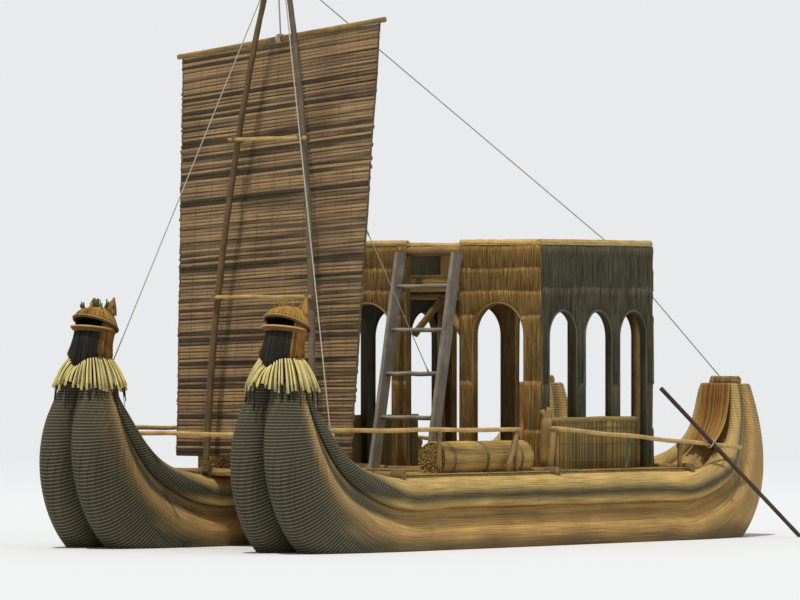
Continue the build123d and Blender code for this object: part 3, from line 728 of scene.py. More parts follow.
def jaws(hull, middle, rng):
    """The raised upper jaw under a crown of reeds, the lower jaw's dish, and both pale lips."""
    cap = Heap()
    apex, brim, lip = APEX + middle, BRIM_MIDDLE + middle, LIP_MIDDLE + middle
    for layer, count in CROWN_LAYERS:
        for index in range(count):
            angle = math.tau * index / count + rng.normal(0, 0.012)
            edge = rim_point(brim, BRIM_RADIUS, BRIM_SLOPE, angle, -0.004, 0.012 - 0.014 * layer)
            start = apex + spoke(angle) * 0.012 - UP * 0.016 * layer
            bend = edge + UP * (0.85 * (apex[2] - edge[2]) + 0.016)
            bend = bend - spoke(angle) * 0.030
            points = curve(start, bend - UP * 0.012 * layer, edge, 8)
            # Painted shade: the crown's under layer is dark.
            tone = rng.uniform(0.25, 1.0) if layer == 0 else 0.1
            reed(cap, points, rng.uniform(0.0070, 0.0095), rng, tone=tone)
    cap.make(f"{hull}_crown_reeds", CROWN, BOAT, (f"{hull}_crown",))

    inside = Heap()
    angles = np.linspace(0, math.tau, LINING_POINTS, endpoint=False)
    for rim, radius, slope, lift, depth in (
        (brim, BRIM_RADIUS - LINING_IN, BRIM_SLOPE, -0.004, 0.050),
        (lip, LIP_RADIUS - LINING_IN, LIP_SLOPE, 0.000, -0.040),
    ):
        ring = [rim_point(rim, radius, slope, a, lift=lift) for a in angles]
        centre = rim + UP * (lift + depth)
        faces = [(LINING_POINTS, i, (i + 1) % LINING_POINTS) for i in range(LINING_POINTS)]
        # Painted shade: the lining inside each jaw is nearly black.
        inside.add(ring + [centre], faces, [(a, 0.0) for a in angles] + [(0.0, 0.2)], tone=0.1)
    inside.make(f"{hull}_mouth_lining", NECK, BOAT)

    lips = Heap()
    dark_lips = Heap()
    whole = np.linspace(0, math.tau, 73)
    row = [rim_point(brim, BRIM_RADIUS, BRIM_SLOPE, a) for a in whole]
    dark_lips.add(*tube(row, BRIM_ROLL, 8), tone=0.22)
    front = np.linspace(math.pi - BRIM_REACH, math.pi + BRIM_REACH, 46)
    row = [rim_point(brim, BRIM_RADIUS, BRIM_SLOPE, a, 0.010, 0.010) for a in front]
    lips.add(*tube(row, BRIM_LIP, 6), tone=0.6)
    front = np.linspace(math.pi - LIP_REACH, math.pi + LIP_REACH, 42)
    row = [rim_point(lip, LIP_RADIUS, LIP_SLOPE, a, 0.004, 0.010) for a in front]
    lips.add(*tube(row, LIP_ROLL, 8), tone=0.75)
    for offset in LIP_STEPS:
        row = [rim_point(lip, LIP_RADIUS - offset, LIP_SLOPE, a, 0.0, 0.004 - offset * 0.9) for a in front]
        dark_lips.add(*tube(row, LIP_REED, 7), tone=0.3)
    lips.make(f"{hull}_lips", ROLL, BOAT)
    dark_lips.make(f"{hull}_jaw_rims", MANE, BOAT)


def ears_and_tufts(hull, middle, tuft_mat, rng):
    """Two pointed ears at the back of the crown, and a loose tuft of stalks or leaves on its top."""
    ears = Heap()
    for points in islands(f"{hull}_ears"):
        low, high = points.min(axis=0), points.max(axis=0)
        base = np.array(((low[0] + high[0]) / 2 - 0.030, (low[1] + high[1]) / 2, low[2] - 0.010))
        tip = points[np.argmax(points[:, 2])] + np.array((0.015, 0, 0.070))
        for index in range(EAR_REEDS):
            way = spoke(math.tau * index / EAR_REEDS)
            start = base + way * 0.058
            bend = 0.6 * start + 0.4 * tip + way * 0.012
            reed(ears, curve(start, bend, tip + rng.normal(0, 0.003, 3), 5), 0.0095, rng)
    ears.make(f"{hull}_ear_reeds", CROWN, BOAT, (f"{hull}_ears",))
    tufts = Heap()
    leafy = tuft_mat is GREEN
    for index in range(30 if leafy else 22):
        angle, out = rng.uniform(0, math.tau), rng.uniform(0.01, 0.12)
        start = APEX + middle + spoke(angle) * out - UP * (0.02 + 1.6 * out * out)
        if not leafy:
            start = start - np.array((0.045, 0, 0))
        lean = spoke(angle) * rng.uniform(0.01, 0.07)
        tip = start + lean + UP * (rng.uniform(0.05, 0.11) if leafy else rng.uniform(0.07, 0.13))
        size = rng.uniform(0.006, 0.012) if leafy else rng.uniform(0.0018, 0.003)
        reed(tufts, line(start, tip, 4, lean * 0.4), size, rng, around=4)
    tufts.make(f"{hull}_tufts", tuft_mat, BOAT)


def bow_head(hull, side, tuft_mat):
    """The maned head on one bow."""
    rng = np.random.default_rng(11 + int(side))
    middle = np.array((0.0, side * HULL_Y, 0.0))
    ruff_reeds(hull, middle, rng)
    neck_reeds(hull, middle, rng)
    jaws(hull, middle, rng)
    ears_and_tufts(hull, middle, tuft_mat, rng)


bow_head("port", -1.0, ROLL)
bow_head("starboard", 1.0, GREEN)


# Poles, rails, beams and ladder

for node in ("deck_beams", "front_rail", "lintels", "corner_posts", "upper_deck_joists", "mast_rungs"):
    mat = RAILWOOD if node in ("front_rail", "mast_rungs") else POLE
    round_poles(node, mat, wobble=0.002 if node == "lintels" else 0.004)
round_poles("mast_crosspiece", DARKPOLE)
round_poles("yard", POLE, SAIL, wobble=0.002, slim=0.74)
round_poles("ladder_rungs", PLANK)
for hull, _ in SIDES:
    for place in ("fore", "aft"):
        round_poles(f"{hull}_{place}_rail", RAILWOOD, wobble=0.005)
        round_poles(f"{hull}_{place}_rail_posts", POLE, wobble=0.002)
dressed("ladder_stiles", PLANK, (0.2, 0, 1), bevel=0.006)

MAST_FOOT, MAST_RAKE = np.array((0.9066, 0.0, 0.6988)), math.radians(3.7)
MAST_UP = np.array((math.sin(MAST_RAKE), 0, math.cos(MAST_RAKE)))
MAST_AFT = np.array((math.cos(MAST_RAKE), 0, -math.sin(MAST_RAKE)))
ACROSS = np.array((0.0, 1.0, 0.0))
LEG_LINE = ((0.630, 0.0), (0.475, 2.5705), (0.062, 4.850))  # across and up, at the foot, middle and head
LEG_RADIUS = 0.038
RUNG_UPS, CROSSPIECE_UP = (1.640, 3.120), 4.64


def on_mast(across, up, aft=0.0):
    """A point given across, up and aft of the raked mast, in metres."""
    return MAST_FOOT + across * ACROSS + up * MAST_UP + aft * MAST_AFT


def leg_across(up):
    """How far a leg's middle lies from the mast's at one height, on the arc through its three points."""
    (x1, y1), (x2, y2), (x3, y3) = LEG_LINE
    det = 2 * (x1 * (y2 - y3) + x2 * (y3 - y1) + x3 * (y1 - y2))
    ax, ay = x1 * x1 + y1 * y1, x2 * x2 + y2 * y2
    az = x3 * x3 + y3 * y3
    cx = (ax * (y2 - y3) + ay * (y3 - y1) + az * (y1 - y2)) / det
    cy = (ax * (x3 - x2) + ay * (x1 - x3) + az * (x2 - x1)) / det
    reach = math.hypot(x1 - cx, y1 - cy)
    return cx + math.copysign(math.sqrt(reach**2 - (up - cy) ** 2), x1 - cx)


def mast_legs():
    """The two bowed mast legs, darker on the starboard side."""
    for hull, side in SIDES:
        rng = np.random.default_rng(40 + int(side))
        ups = np.linspace(0, LEG_LINE[2][1], 50)
        points = np.array([on_mast(side * leg_across(up), up) for up in ups])
        points += rng.normal(0, 0.0012, points.shape)
        radii = LEG_RADIUS * (0.90 - 0.22 * ups / ups[-1] + rng.normal(0, 0.02, len(ups)))
        heap = Heap()
        heap.add(*tube(points, radii, 14))
        mat = GREYPOLE if side < 0 else DARKPOLE
        heap.make(f"{hull}_mast_leg_pole", mat, BOAT, (f"{hull}_mast_leg",))


mast_legs()


# Sail: split reeds laid across and sewn with twines, hung from the yard

SAIL_MIDDLE, SAIL_AFT = 0.090, 0.185
SAIL_FOOT, SAIL_HEAD, YARD_TILT = 0.160, 4.066, math.radians(6.5)
FOOT_HALF, HEAD_HALF = 1.060, 1.192
SAIL_STRIPS = 121
SAIL_LAYERS = ((0, -0.0035), (1, 0.0045))  # layer, and how far aft of the sail's middle it lies
STRIP_POINTS, STRIP_HALF_DEPTH = 15, 0.0045
STRIP_TONE, TONE_SPREAD = 0.42, 0.24
HIGH_TONE, HIGH_SHARE = 0.85, 0.20  # where the high tones start, and the share of strips that have one; the bright strips are painted highlights as well as the reeds' own tone
TWINES, TWINE_STEP, FIRST_TWINE = 11, 0.19, -0.95
TWINE_RADIUS, EDGE_RADIUS = 0.0016, 0.0095


def band(points, half_height, half_depth, up, aft):
    """A flat split reed along points: a six-sided section, its vertices, faces and UVs in metres."""
    points = np.asarray(points, float)
    section = ((0, 1.0), (0.75, 0.55), (0.75, -0.55), (0, -1.0), (-0.75, -0.55), (-0.75, 0.55))
    offsets = [(half_depth * d, half_height * h) for d, h in section]
    verts = np.concatenate([[p + d * aft + h * up for d, h in offsets] for p in points])
    lengths = np.concatenate([[0], np.cumsum(np.linalg.norm(np.diff(points, axis=0), axis=1))])
    uvs = np.array([((d + 1.5 * h) * half_height, length) for length in lengths for d, h in section])
    return verts, tube_faces(len(points), 6), uvs


def sail_mat():
    """The sail's strips in two layers, half a strip apart, and its sewing."""
    rng = np.random.default_rng(5)
    mat = Heap()
    pitch = (SAIL_HEAD - SAIL_FOOT) / SAIL_STRIPS
    for layer, depth in SAIL_LAYERS:
        for index in range(SAIL_STRIPS - layer):
            share = (index + 0.5 + 0.5 * layer) / SAIL_STRIPS
            half = FOOT_HALF + (HEAD_HALF - FOOT_HALF) * share + rng.normal(0, 0.004)
            slope = -math.tan(YARD_TILT) * share + rng.normal(0, 0.0030)
            middle_up = SAIL_FOOT + (SAIL_HEAD - SAIL_FOOT) * share
            tone = min(HIGH_TONE, max(0.0, rng.normal(STRIP_TONE, TONE_SPREAD)))
            if rng.random() < HIGH_SHARE:
                tone = rng.uniform(HIGH_TONE, 1.0)
            # Painted shade: the back layer, seen in the gaps between the strips, is darkened.
            if layer:
                tone *= 0.4
            left, right = -half + rng.uniform(-0.010, 0.004), half + rng.uniform(-0.004, 0.010)
            across = np.linspace(left, right, STRIP_POINTS)
            # Tone wanders along each front strip: the reeds' own tone, and short painted highlights.
            streaks = np.clip(tone + np.cumsum(rng.normal(0, 0.13, STRIP_POINTS)) * (1 - layer), 0.0, 1.0)
            phase, wave = rng.uniform(0, math.tau), rng.uniform(0.001, 0.004)
            ups = middle_up + slope * across + wave * np.sin(across * 4 + phase)
            off = depth + rng.normal(0, 0.0012)
            points = [on_mast(SAIL_MIDDLE + a, u, SAIL_AFT + off) for a, u in zip(across, ups)]
            height = pitch * (0.6 if layer else rng.uniform(0.34, 0.47))
            mat.add(*band(points, height, STRIP_HALF_DEPTH, MAST_UP, MAST_AFT), tone=np.repeat(streaks, 6))
    for index in range(TWINES):
        offset = FIRST_TWINE + TWINE_STEP * index
        for way in (-1, 1):
            ups = np.linspace(SAIL_FOOT + 0.02, SAIL_HEAD - offset * math.tan(YARD_TILT) - 0.02, 60)
            ripple = 0.0090 + 0.0010 * np.sin(ups * 200)
            points = [on_mast(SAIL_MIDDLE + offset, u, SAIL_AFT + way * r) for u, r in zip(ups, ripple)]
            mat.add(*tube(points, TWINE_RADIUS, 4), tone=0.3)
    for way in (-1, 1):
        ups = np.linspace(SAIL_FOOT, SAIL_HEAD - way * HEAD_HALF * math.tan(YARD_TILT), 70)
        halves = FOOT_HALF + (HEAD_HALF - FOOT_HALF) * (ups - SAIL_FOOT) / (SAIL_HEAD - SAIL_FOOT)
        wave = 0.004 * np.sin(ups * 5 + way)
        edges = SAIL_MIDDLE + way * (halves - 0.004) + wave
        points = [on_mast(edge, u, SAIL_AFT) for edge, u in zip(edges, ups)]
        mat.add(*tube(points, EDGE_RADIUS, 6), tone=0.12)
    return mat.make("sail_reeds", SAILREED, SAIL, ("sail_mat",), smooth=False)


sail_mat()


# Cabin: thatch in hanging tiers over each wall, and rolled arch edges

CABIN_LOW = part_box("port_cabin_wall")[0]
WALL_LOW = CABIN_LOW[2]
CABIN_FRONT, CABIN_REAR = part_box("port_front_panel")[0][0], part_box("port_rear_panel")[1][0]
CABIN_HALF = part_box("starboard_front_panel")[1][1]
GAP_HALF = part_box("starboard_front_panel")[0][1]
THATCH_PITCH = 0.0105
END_ARCHES = ((0.805, 0.312),)  # middle and half width
END_CROWN, END_RISE = 2.290, 0.310
SIDE_ARCHES = tuple(((CABIN_FRONT + CABIN_REAR) / 2 + step * 0.558, 0.218) for step in (-1, 0, 1))
SIDE_CROWN, SIDE_RISE = 2.215, 0.262


def arch_edge(place, arches, crown, rise):
    """Height of the lowest thatch over one place along a wall: an arch's edge, or the deck beside it."""
    for middle, half in arches:
        off = (place - middle) / half
        if abs(off) < 1:
            return crown - rise + rise * math.sqrt(1 - off * off)
    return WALL_LOW


def thatch(heap, at, start, stop, arches, crown, rise, tiers, rng, fold=0.020):
    """Reeds folded over sticks along a wall, in tiers; each tier's folds cover the ends of the one above.

    at(place, height, out) gives a point on the wall's face."""
    for top, bottom in tiers:
        count = int((stop - start) / THATCH_PITCH)
        drift = rng.uniform(0, math.tau)
        for index in range(count):
            place = start + THATCH_PITCH * (index + rng.uniform(0.1, 0.9))
            edge = arch_edge(place, arches, crown, rise)
            low = max(bottom + rng.normal(0, 0.014), edge + rng.uniform(-0.012, 0.010), WALL_LOW + 0.002)
            high = top + 0.006 * math.sin(place * 7 + drift) + rng.normal(0, 0.004)
            if high - low < 0.05:
                continue
            out = fold * rng.uniform(0.65, 1.0)
            width = THATCH_PITCH * rng.uniform(0.5, 0.8)
            lean = rng.normal(0, 0.006)
            below = high - 0.09 if high - low > 0.12 else (high + low) / 2
            heights = (high - 0.010, high, high - 0.035, below, low)
            outs = (0.002, 0.55 * out, out, 0.7 * out, 0.004 + 0.004 * rng.random())
            corners, uvs = [], []
            for height, reach in zip(heights, outs):
                shift = lean * (high - height) / (high - low)
                for across, lift in ((-width, -0.003), (0.0, 0.003), (width, -0.003)):
                    corners.append(at(place + shift + across, height, max(0.001, reach + lift)))
                    uvs.append((place + across, height))
            faces = []
            for row in range(0, 12, 3):
                faces += [(row, row + 1, row + 4, row + 3), (row + 1, row + 2, row + 5, row + 4)]
            # Painted light: a reed's fold is a painted highlight where it flares out, and it darkens towards
            # its lower end, painted shade under the next tier's folds.
            light = rng.uniform(0.75, 1.0)
            shades = [0.9 * light, light, 0.9 * light, rng.uniform(0.35, 0.65), rng.uniform(0.10, 0.35)]
            heap.add(corners, faces, uvs, tone=np.repeat(shades, 3))


def wall_face(axis, plane, outward):
    """The map from a place along a wall, a height and a distance out, to a point of the boat."""
    if axis == "y":
        return lambda place, height, out: (plane + outward * out, place, height)
    return lambda place, height, out: (place, plane + outward * out, height)


# Each tier's top and bottom
END_TIERS = ((2.832, 2.600), (2.622, 2.385), (2.405, 2.150), (2.170, 1.500), (1.540, 1.050), (1.080, WALL_LOW))
SIDE_TIERS = ((2.832, 2.180), (2.440, 1.480), (1.520, WALL_LOW))


def cabin_walls():
    """All four walls, each with its own solid under the thatch, and rolls round the arches."""
    rolls = Heap()
    side_rolls = Heap()
    for hull, side in SIDES:
        for end, plane, outward in (("front", CABIN_FRONT, -1), ("rear", CABIN_REAR, 1)):
            node = f"{hull}_{end}_panel"
            dressed(node, THATCH, tone=0.3)
            rng = np.random.default_rng(60 + int(side) + (3 if end == "front" else 7))
            arches = tuple((side * middle, half) for middle, half in END_ARCHES)
            span = sorted((side * GAP_HALF, side * CABIN_HALF))
            heap = Heap()
            at = wall_face("y", plane, outward)
            thatch(heap, at, span[0], span[1], arches, END_CROWN, END_RISE, END_TIERS, rng)
            mat = THATCH if end == "front" else SHADE_THATCH
            heap.make(f"{node}_thatch", mat, BOAT, (), smooth=False)
            for middle, half in arches:
                edge_roll(rolls, at, middle, half, END_CROWN, END_RISE)
        node = f"{hull}_cabin_wall"
        dressed(node, SHADE_THATCH, tone=0.3)
        rng = np.random.default_rng(80 + int(side))
        heap = Heap()
        at = wall_face("x", side * CABIN_HALF, side)
        span = (CABIN_FRONT + 0.004, CABIN_REAR - 0.004)
        thatch(heap, at, *span, SIDE_ARCHES, SIDE_CROWN, SIDE_RISE, SIDE_TIERS, rng, fold=0.010)
        heap.make(f"{node}_thatch", SHADE_THATCH, BOAT, (), smooth=False)
        for middle, half in SIDE_ARCHES:
            edge_roll(side_rolls, at, middle, half, SIDE_CROWN, SIDE_RISE)
    rolls.make("arch_rolls", THATCH, BOAT, ())
    side_rolls.make("side_arch_rolls", SHADE_THATCH, BOAT, ())


def edge_roll(heap, at, middle, half, crown, rise):
    """A thin roll of reeds bound round an arch's edge, and down its sides."""
    angles = np.linspace(0, math.pi, 23)
    outline = [(middle + half, WALL_LOW + 0.01), (middle + half, crown - rise - 0.35)]
    outline += [(middle + half * math.cos(a), crown - rise + rise * math.sin(a)) for a in angles]
    outline += [(middle - half, crown - rise - 0.35), (middle - half, WALL_LOW + 0.01)]
    for out in (0.004, -0.030, -0.060):
        points = [at(place, height, out) for place, height in outline]
        # Painted shade: the rolls set back into the arch are darker than the one on the face.
        heap.add(*tube(points, 0.011, 7), tone=0.35 if out < 0 else 0.6)


cabin_walls()


# Mats and rolls of reeds


def reed_row(name, start, step, run, count, radius, tones=(0.2, 0.85)):
    """Reeds of a mat side by side: the first starts at start, and each is one step from the last."""
    rng = np.random.default_rng(count)
    heap = Heap()
    for index in range(count):
        first = np.asarray(start) + np.asarray(step) * (index + rng.normal(0, 0.12))
        length = 1 - rng.uniform(0, 0.012)
        points = line(first, first + np.asarray(run) * length, 4)
        heap.add(*tube(points, radius * rng.uniform(0.8, 1.15), 6), tone=rng.uniform(*tones))
    return heap.make(name, MAT, BOAT, ())


def low_wall(hull, side):
    """One low wall beside the cabin: upright reeds and three pairs of twines."""
    node = f"{hull}_low_wall"
    dressed(node, MAT, tone=0.25)
    low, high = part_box(node)
    out = high[1] if side > 0 else low[1]
    count = int((high[0] - low[0]) / 0.0135)
    start, run = (low[0] + 0.006, out, low[2]), (0, 0, high[2] - low[2] + 0.012)
    reed_row(f"{node}_reeds", start, (0.0135, 0, 0), run, count, 0.0068, tones=(0.05, 0.75))
    bands = Heap()
    for height in (0.09, 0.25, 0.40):
        z = low[2] + height
        for lift in (-0.006, 0.006):
            ends = [(x, out + side * 0.008, z + lift) for x in (low[0], high[0])]
            bands.add(*tube(ends, 0.003, 6))
    bands.make(f"{node}_twines", TWINE, BOAT)


def mats():
    """Deck mats, the upper deck and the low walls."""
    dressed("deck_mat", MAT, (0, 1, 0), tone=0.3)
    for number, points in enumerate(islands("deck_mat")):
        low, high = points.min(axis=0), points.max(axis=0)
        count = int((high[0] - low[0]) / 0.017)
        step = (high[0] - low[0] - 0.012) / count
        start, run = (low[0] + 0.012, low[1], high[2] - 0.001), (0, high[1] - low[1], 0)
        reed_row(f"deck_reeds_{number}", start, (step, 0, 0), run, count, 0.0085)
    dressed("upper_deck", MAT, (0, 1, 0), tone=0.3)
    low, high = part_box("upper_deck")
    count = int((high[0] - low[0]) / 0.019)
    start = (low[0] + 0.012, low[1] + 0.002, high[2] + 0.002)
    reed_row("upper_deck_reeds", start, (0.0188, 0, 0), (0, high[1] - low[1] - 0.004, 0), count, 0.0095)
    for hull, side in SIDES:
        low_wall(hull, side)


mats()


def reed_roll(name, node, radius, start, end, mat=ROLL, lashings=(), flat=None):
    """A thick roll of reeds with cut ends: reeds on its surface and inside its ends, and ropes round it.

    No point goes below flat, where the roll rests on something."""
    rng = np.random.default_rng(sum(map(ord, name)))
    start, end = np.asarray(start, float), np.asarray(end, float)
    run = (end - start) / np.linalg.norm(end - start)
    sides, ups = frames_along(line(start, end, 2))
    side, up = sides[0], ups[0]
    heap = Heap()
    core, faces, uvs = tube(line(start + run * 0.012, end - run * 0.012, 24), radius * 0.93, 28)
    if flat is not None:
        core[:, 2] = np.maximum(core[:, 2], flat)
    # Painted shade: the core, seen between the surface reeds, is dark.
    heap.add(core, faces, uvs, tone=0.2)
    around = int(math.tau * radius / 0.0155)
    for index in range(around):
        angle = math.tau * index / around
        way = math.cos(angle) * side + math.sin(angle) * up
        points = line(start + rng.uniform(0, 0.010) * run, end - rng.uniform(0, 0.010) * run, 26)
        points = points + way * (radius - 0.008)
        points += rng.normal(0, 0.0008, points.shape)
        share = (points - start) @ run
        for place in lashings:
            points -= way * (0.010 * np.exp(-(((share - place) / 0.035) ** 2)))[:, None]
        if flat is not None:
            points[:, 2] = np.maximum(points[:, 2], flat + 0.008)
        heap.add(*tube(points, 0.0088, 6), tone=rng.uniform(0.3, 0.95))
    for ring in range(int(radius / 0.017)):
        count = max(1, int(math.tau * ring))
        for index in range(count):
            angle = math.tau * index / count + rng.uniform(0, 0.3)
            way = math.cos(angle) * side + math.sin(angle) * up
            offset = way * ring * 0.0165
            for tip, inward in ((start, 1), (end, -1)):
                first = tip + offset + run * inward * rng.uniform(0.0, 0.008)
                if flat is not None and first[2] < flat + 0.008:
                    continue
                heap.add(*tube([first, first + run * inward * 0.03], 0.0082, 6), tone=rng.uniform(0.35, 1.0))
    heap.make(name, mat, BOAT, (node,) if node else ())
    if lashings:
        ropes = Heap()
        for place in lashings:
            for turn in (-0.014, 0.0, 0.014):
                centre = start + run * (place + turn)
                angles = np.linspace(0, math.tau, 40)
                ways = [math.cos(a) * side + math.sin(a) * up for a in angles]
                loop = np.array([centre + (radius - 0.006) * way for way in ways])
                if flat is not None:
                    loop[:, 2] = np.maximum(loop[:, 2], flat + 0.004)
                ropes.add(*tube(loop, 0.0055, 6))
        ropes.make(f"{name}_ties", TWINE, BOAT)


def reed_rolls():
    """Bench rolls, stern caps, the upper deck's sill and the rims on the walls."""
    for hull, _ in SIDES:
        low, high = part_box(f"{hull}_bench_roll")
        radius, middle = (high[1] - low[1]) / 2, (low[1] + high[1]) / 2
        ends = [(x, middle, high[2] - radius) for x in (low[0], high[0])]
        flat = low[2] + 0.001
        reed_roll(f"{hull}_bench", f"{hull}_bench_roll", radius, *ends, lashings=(0.16, 0.66, 1.18), flat=flat)
        low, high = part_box(f"{hull}_stern_cap")
        middle = (np.array(low) + np.array(high)) / 2
        ends = [(middle[0], y, middle[2]) for y in (low[1], high[1])]
        radius = (high[2] - low[2]) / 2
        reed_roll(f"{hull}_stern_roll", f"{hull}_stern_cap", radius, *ends, lashings=(0.10, 0.23))
    start, end, radius = pole_line(node_points("upper_deck_sill"))
    reed_roll("sill_roll", "upper_deck_sill", radius, start, end, lashings=(0.2, 0.66))
    for number, points in enumerate(islands("wall_rims")):
        low, high = points.min(axis=0), points.max(axis=0)
        wide = (high - low)[:2]
        radius = wide.min() / 2
        start = np.array((*(low + high)[:2] / 2, high[2] - radius))
        end = start.copy()
        axis = int(np.argmax(wide))
        start[axis], end[axis] = low[axis], high[axis]
        node = "wall_rims" if number == 0 else None
        reed_roll(f"rim_{number}", node, radius, start, end, RIM, flat=low[2])


reed_rolls()


FACING_ROWS = np.linspace(0, 1.85, 18)  # the station rows that a stern facing covers
FACING_HALF, FACING_REEDS = 0.168, 15  # half width, and reeds to either side of the middle one


def stern_facings():
    """The stern posts' inner faces: a sheet of warm reeds over the posts, with a pale roll down each edge."""
    for hull, side in SIDES:
        rng = np.random.default_rng(90 + int(side))
        face = Heap()
        edges = Heap()
        rows = smooth_rows(STATIONS, FACING_ROWS)
        for index in range(-FACING_REEDS, FACING_REEDS + 1):
            share = index / FACING_REEDS
            edge = abs(index) == FACING_REEDS
            points = []
            for row in rows[: len(rows) - (0 if edge else rng.integers(0, 3))]:
                roll = row[5]
                lift = row[3] + roll * (1.42 - 0.30 * (1 - share * share))
                across = share * min(row[4] * 0.88, FACING_HALF)
                points.append(np.array((row[0], side * HULL_Y + across, row[1])) - down_from(row) * lift)
            points = np.array(points) + rng.normal(0, 0.0010, (len(points), 3))
            widths = np.minimum(rows[: len(points), 4] * 0.88, FACING_HALF) / FACING_REEDS * 0.62
            if edge:
                edges.add(*tube(points, widths * 1.25, 8), tone=0.45)
            else:
                face.add(*tube(points, widths, 7), tone=rng.uniform(0.2, 0.75))
        face.make(f"{hull}_stern_face_reeds", FACING, BOAT, (f"{hull}_stern_facing",))
        edges.make(f"{hull}_stern_face_edges", ROLL, BOAT)


stern_facings()


# Steering oar

OAR_PIVOT = np.array((5.80014, -1.66726, 0.936406))
OAR_LIFT = np.array((0.003142, -0.922554, 0.385855))
OAR_WAY = np.array((0.68, -0.28, -0.675))  # from the grip to the blade, not yet a unit vector
BLADE_ROUND, ROUND_LENGTH = 0.86, 0.15  # shares of the blade: where its tip rounds, and over how much


def steering_oar():
    """A dark worn oar: a round shaft and a flat blade with a rounded tip."""
    run = OAR_WAY / np.linalg.norm(OAR_WAY)
    grip, reach, radius = 0.780, 1.480, 0.022
    rng = np.random.default_rng(9)
    heap = Heap()
    shaft, radii = knotty(OAR_PIVOT - run * grip, OAR_PIVOT + run * reach, radius * 0.95, rng, 0.0, taper=0.05)
    heap.add(*tube(shaft, radii, 12))
    wide = np.cross(OAR_LIFT, run)
    wide /= np.linalg.norm(wide)
    steps = np.linspace(0, 1, 18)
    section = ((-1, 0), (-0.6, 0.7), (0, 1), (0.6, 0.7), (1, 0), (0.6, -0.7), (0, -1), (-0.6, -0.7))
    rows = []
    blade_half, blade_thick, blade_length = 0.074, 0.012, 0.515
    for share in steps:
        past = max(0.0, share - BLADE_ROUND) / ROUND_LENGTH
        tip = math.sqrt(max(0.02, 1 - past**2))
        half = blade_half * min(1.0, 0.35 + share * 3.2) * tip
        thick = blade_thick * (1 - 0.45 * share)
        centre = OAR_PIVOT + run * (reach - 0.06 + blade_length * share)
        rows.append([centre + wide * half * a + OAR_LIFT * thick * b for a, b in section])
    verts = np.array(rows).reshape(-1, 3)
    uvs = np.array([(0.02 * k, 0.52 * share) for share in steps for k in range(8)])
    heap.add(verts, tube_faces(len(rows), 8), uvs)
    heap.make("oar_wood", OARWOOD, OAR, ("steering_oar",))


steering_oar()


# Stays, sheet and lashings

BEAMS = (0.980, 3.300, 5.450)
BEAM_Z = 0.6968
GUNWALE_OFF = 0.467  # from a hull's middle to where a beam crosses its gunwales
YARD_UP = 4.085
RAIL_RUN = np.array((2.940, -0.082, -0.220)) / 2.9494
OAR_RUN = OAR_WAY / 0.998
STAY_RADIUS, FAR_STAY_RADIUS, SHEET_RADIUS, HALYARD_RADIUS = 0.006, 0.0055, 0.0045, 0.008
STAY_DROP, STAY_APART = 0.10, 0.05  # of the stays' knots: below the mast's top, and to either side of it
# Each kind of lashing: radius, width and turns
FOOT_TIE, RUNG_TIE, CROSS_TIE = (0.044, 0.10, 6), (0.054, 0.05, 4), (0.052, 0.05, 4)
BEAM_TIE, POST_TIE = (0.0365, 0.16, 9), (0.026, 0.05, 5)
YARD_TIE, HEAD_TIE = (0.037, 0.06, 6), (0.098, 0.10, 7)
OAR_TURNS, OAR_LOOP, OAR_ROPE = 4, 0.0465, 0.004  # turns round the oar, their radius and the rope's


def taut(name, points, radius, mat, tied=True):
    """A taut rope through a few points, with knots where it is tied at its two ends."""
    heap = Heap()
    rng = np.random.default_rng(len(name))
    run = []
    for start, end in zip(points[:-1], points[1:]):
        length = float(np.linalg.norm(np.asarray(end) - np.asarray(start)))
        run += list(line(start, end, max(3, int(length / 0.12))))[:-1]
    run.append(np.asarray(points[-1], float))
    heap.add(*tube(run, radius, 7))
    if tied:
        for at, towards in ((points[0], points[1]), (points[-1], points[-2])):
            at, towards = np.asarray(at, float), np.asarray(towards, float)
            way = (towards - at) / np.linalg.norm(towards - at)
            coil(heap, at + way * 0.01, at + way * 0.09, radius * 0.9, radius * 0.8, 5, rng)
    return heap.make(name, mat, BOAT)


def lashing(heap, centre, axis, radius, width, turns, rng):
    """Rope turns round a pole, or round two crossing poles, about an axis."""
    centre, axis = np.asarray(centre, float), np.asarray(axis, float)
    axis /= np.linalg.norm(axis)
    half = axis * width / 2
    coil(heap, centre - half, centre + half, radius, 0.005, turns, rng, tone=rng.uniform(0.4, 0.7))


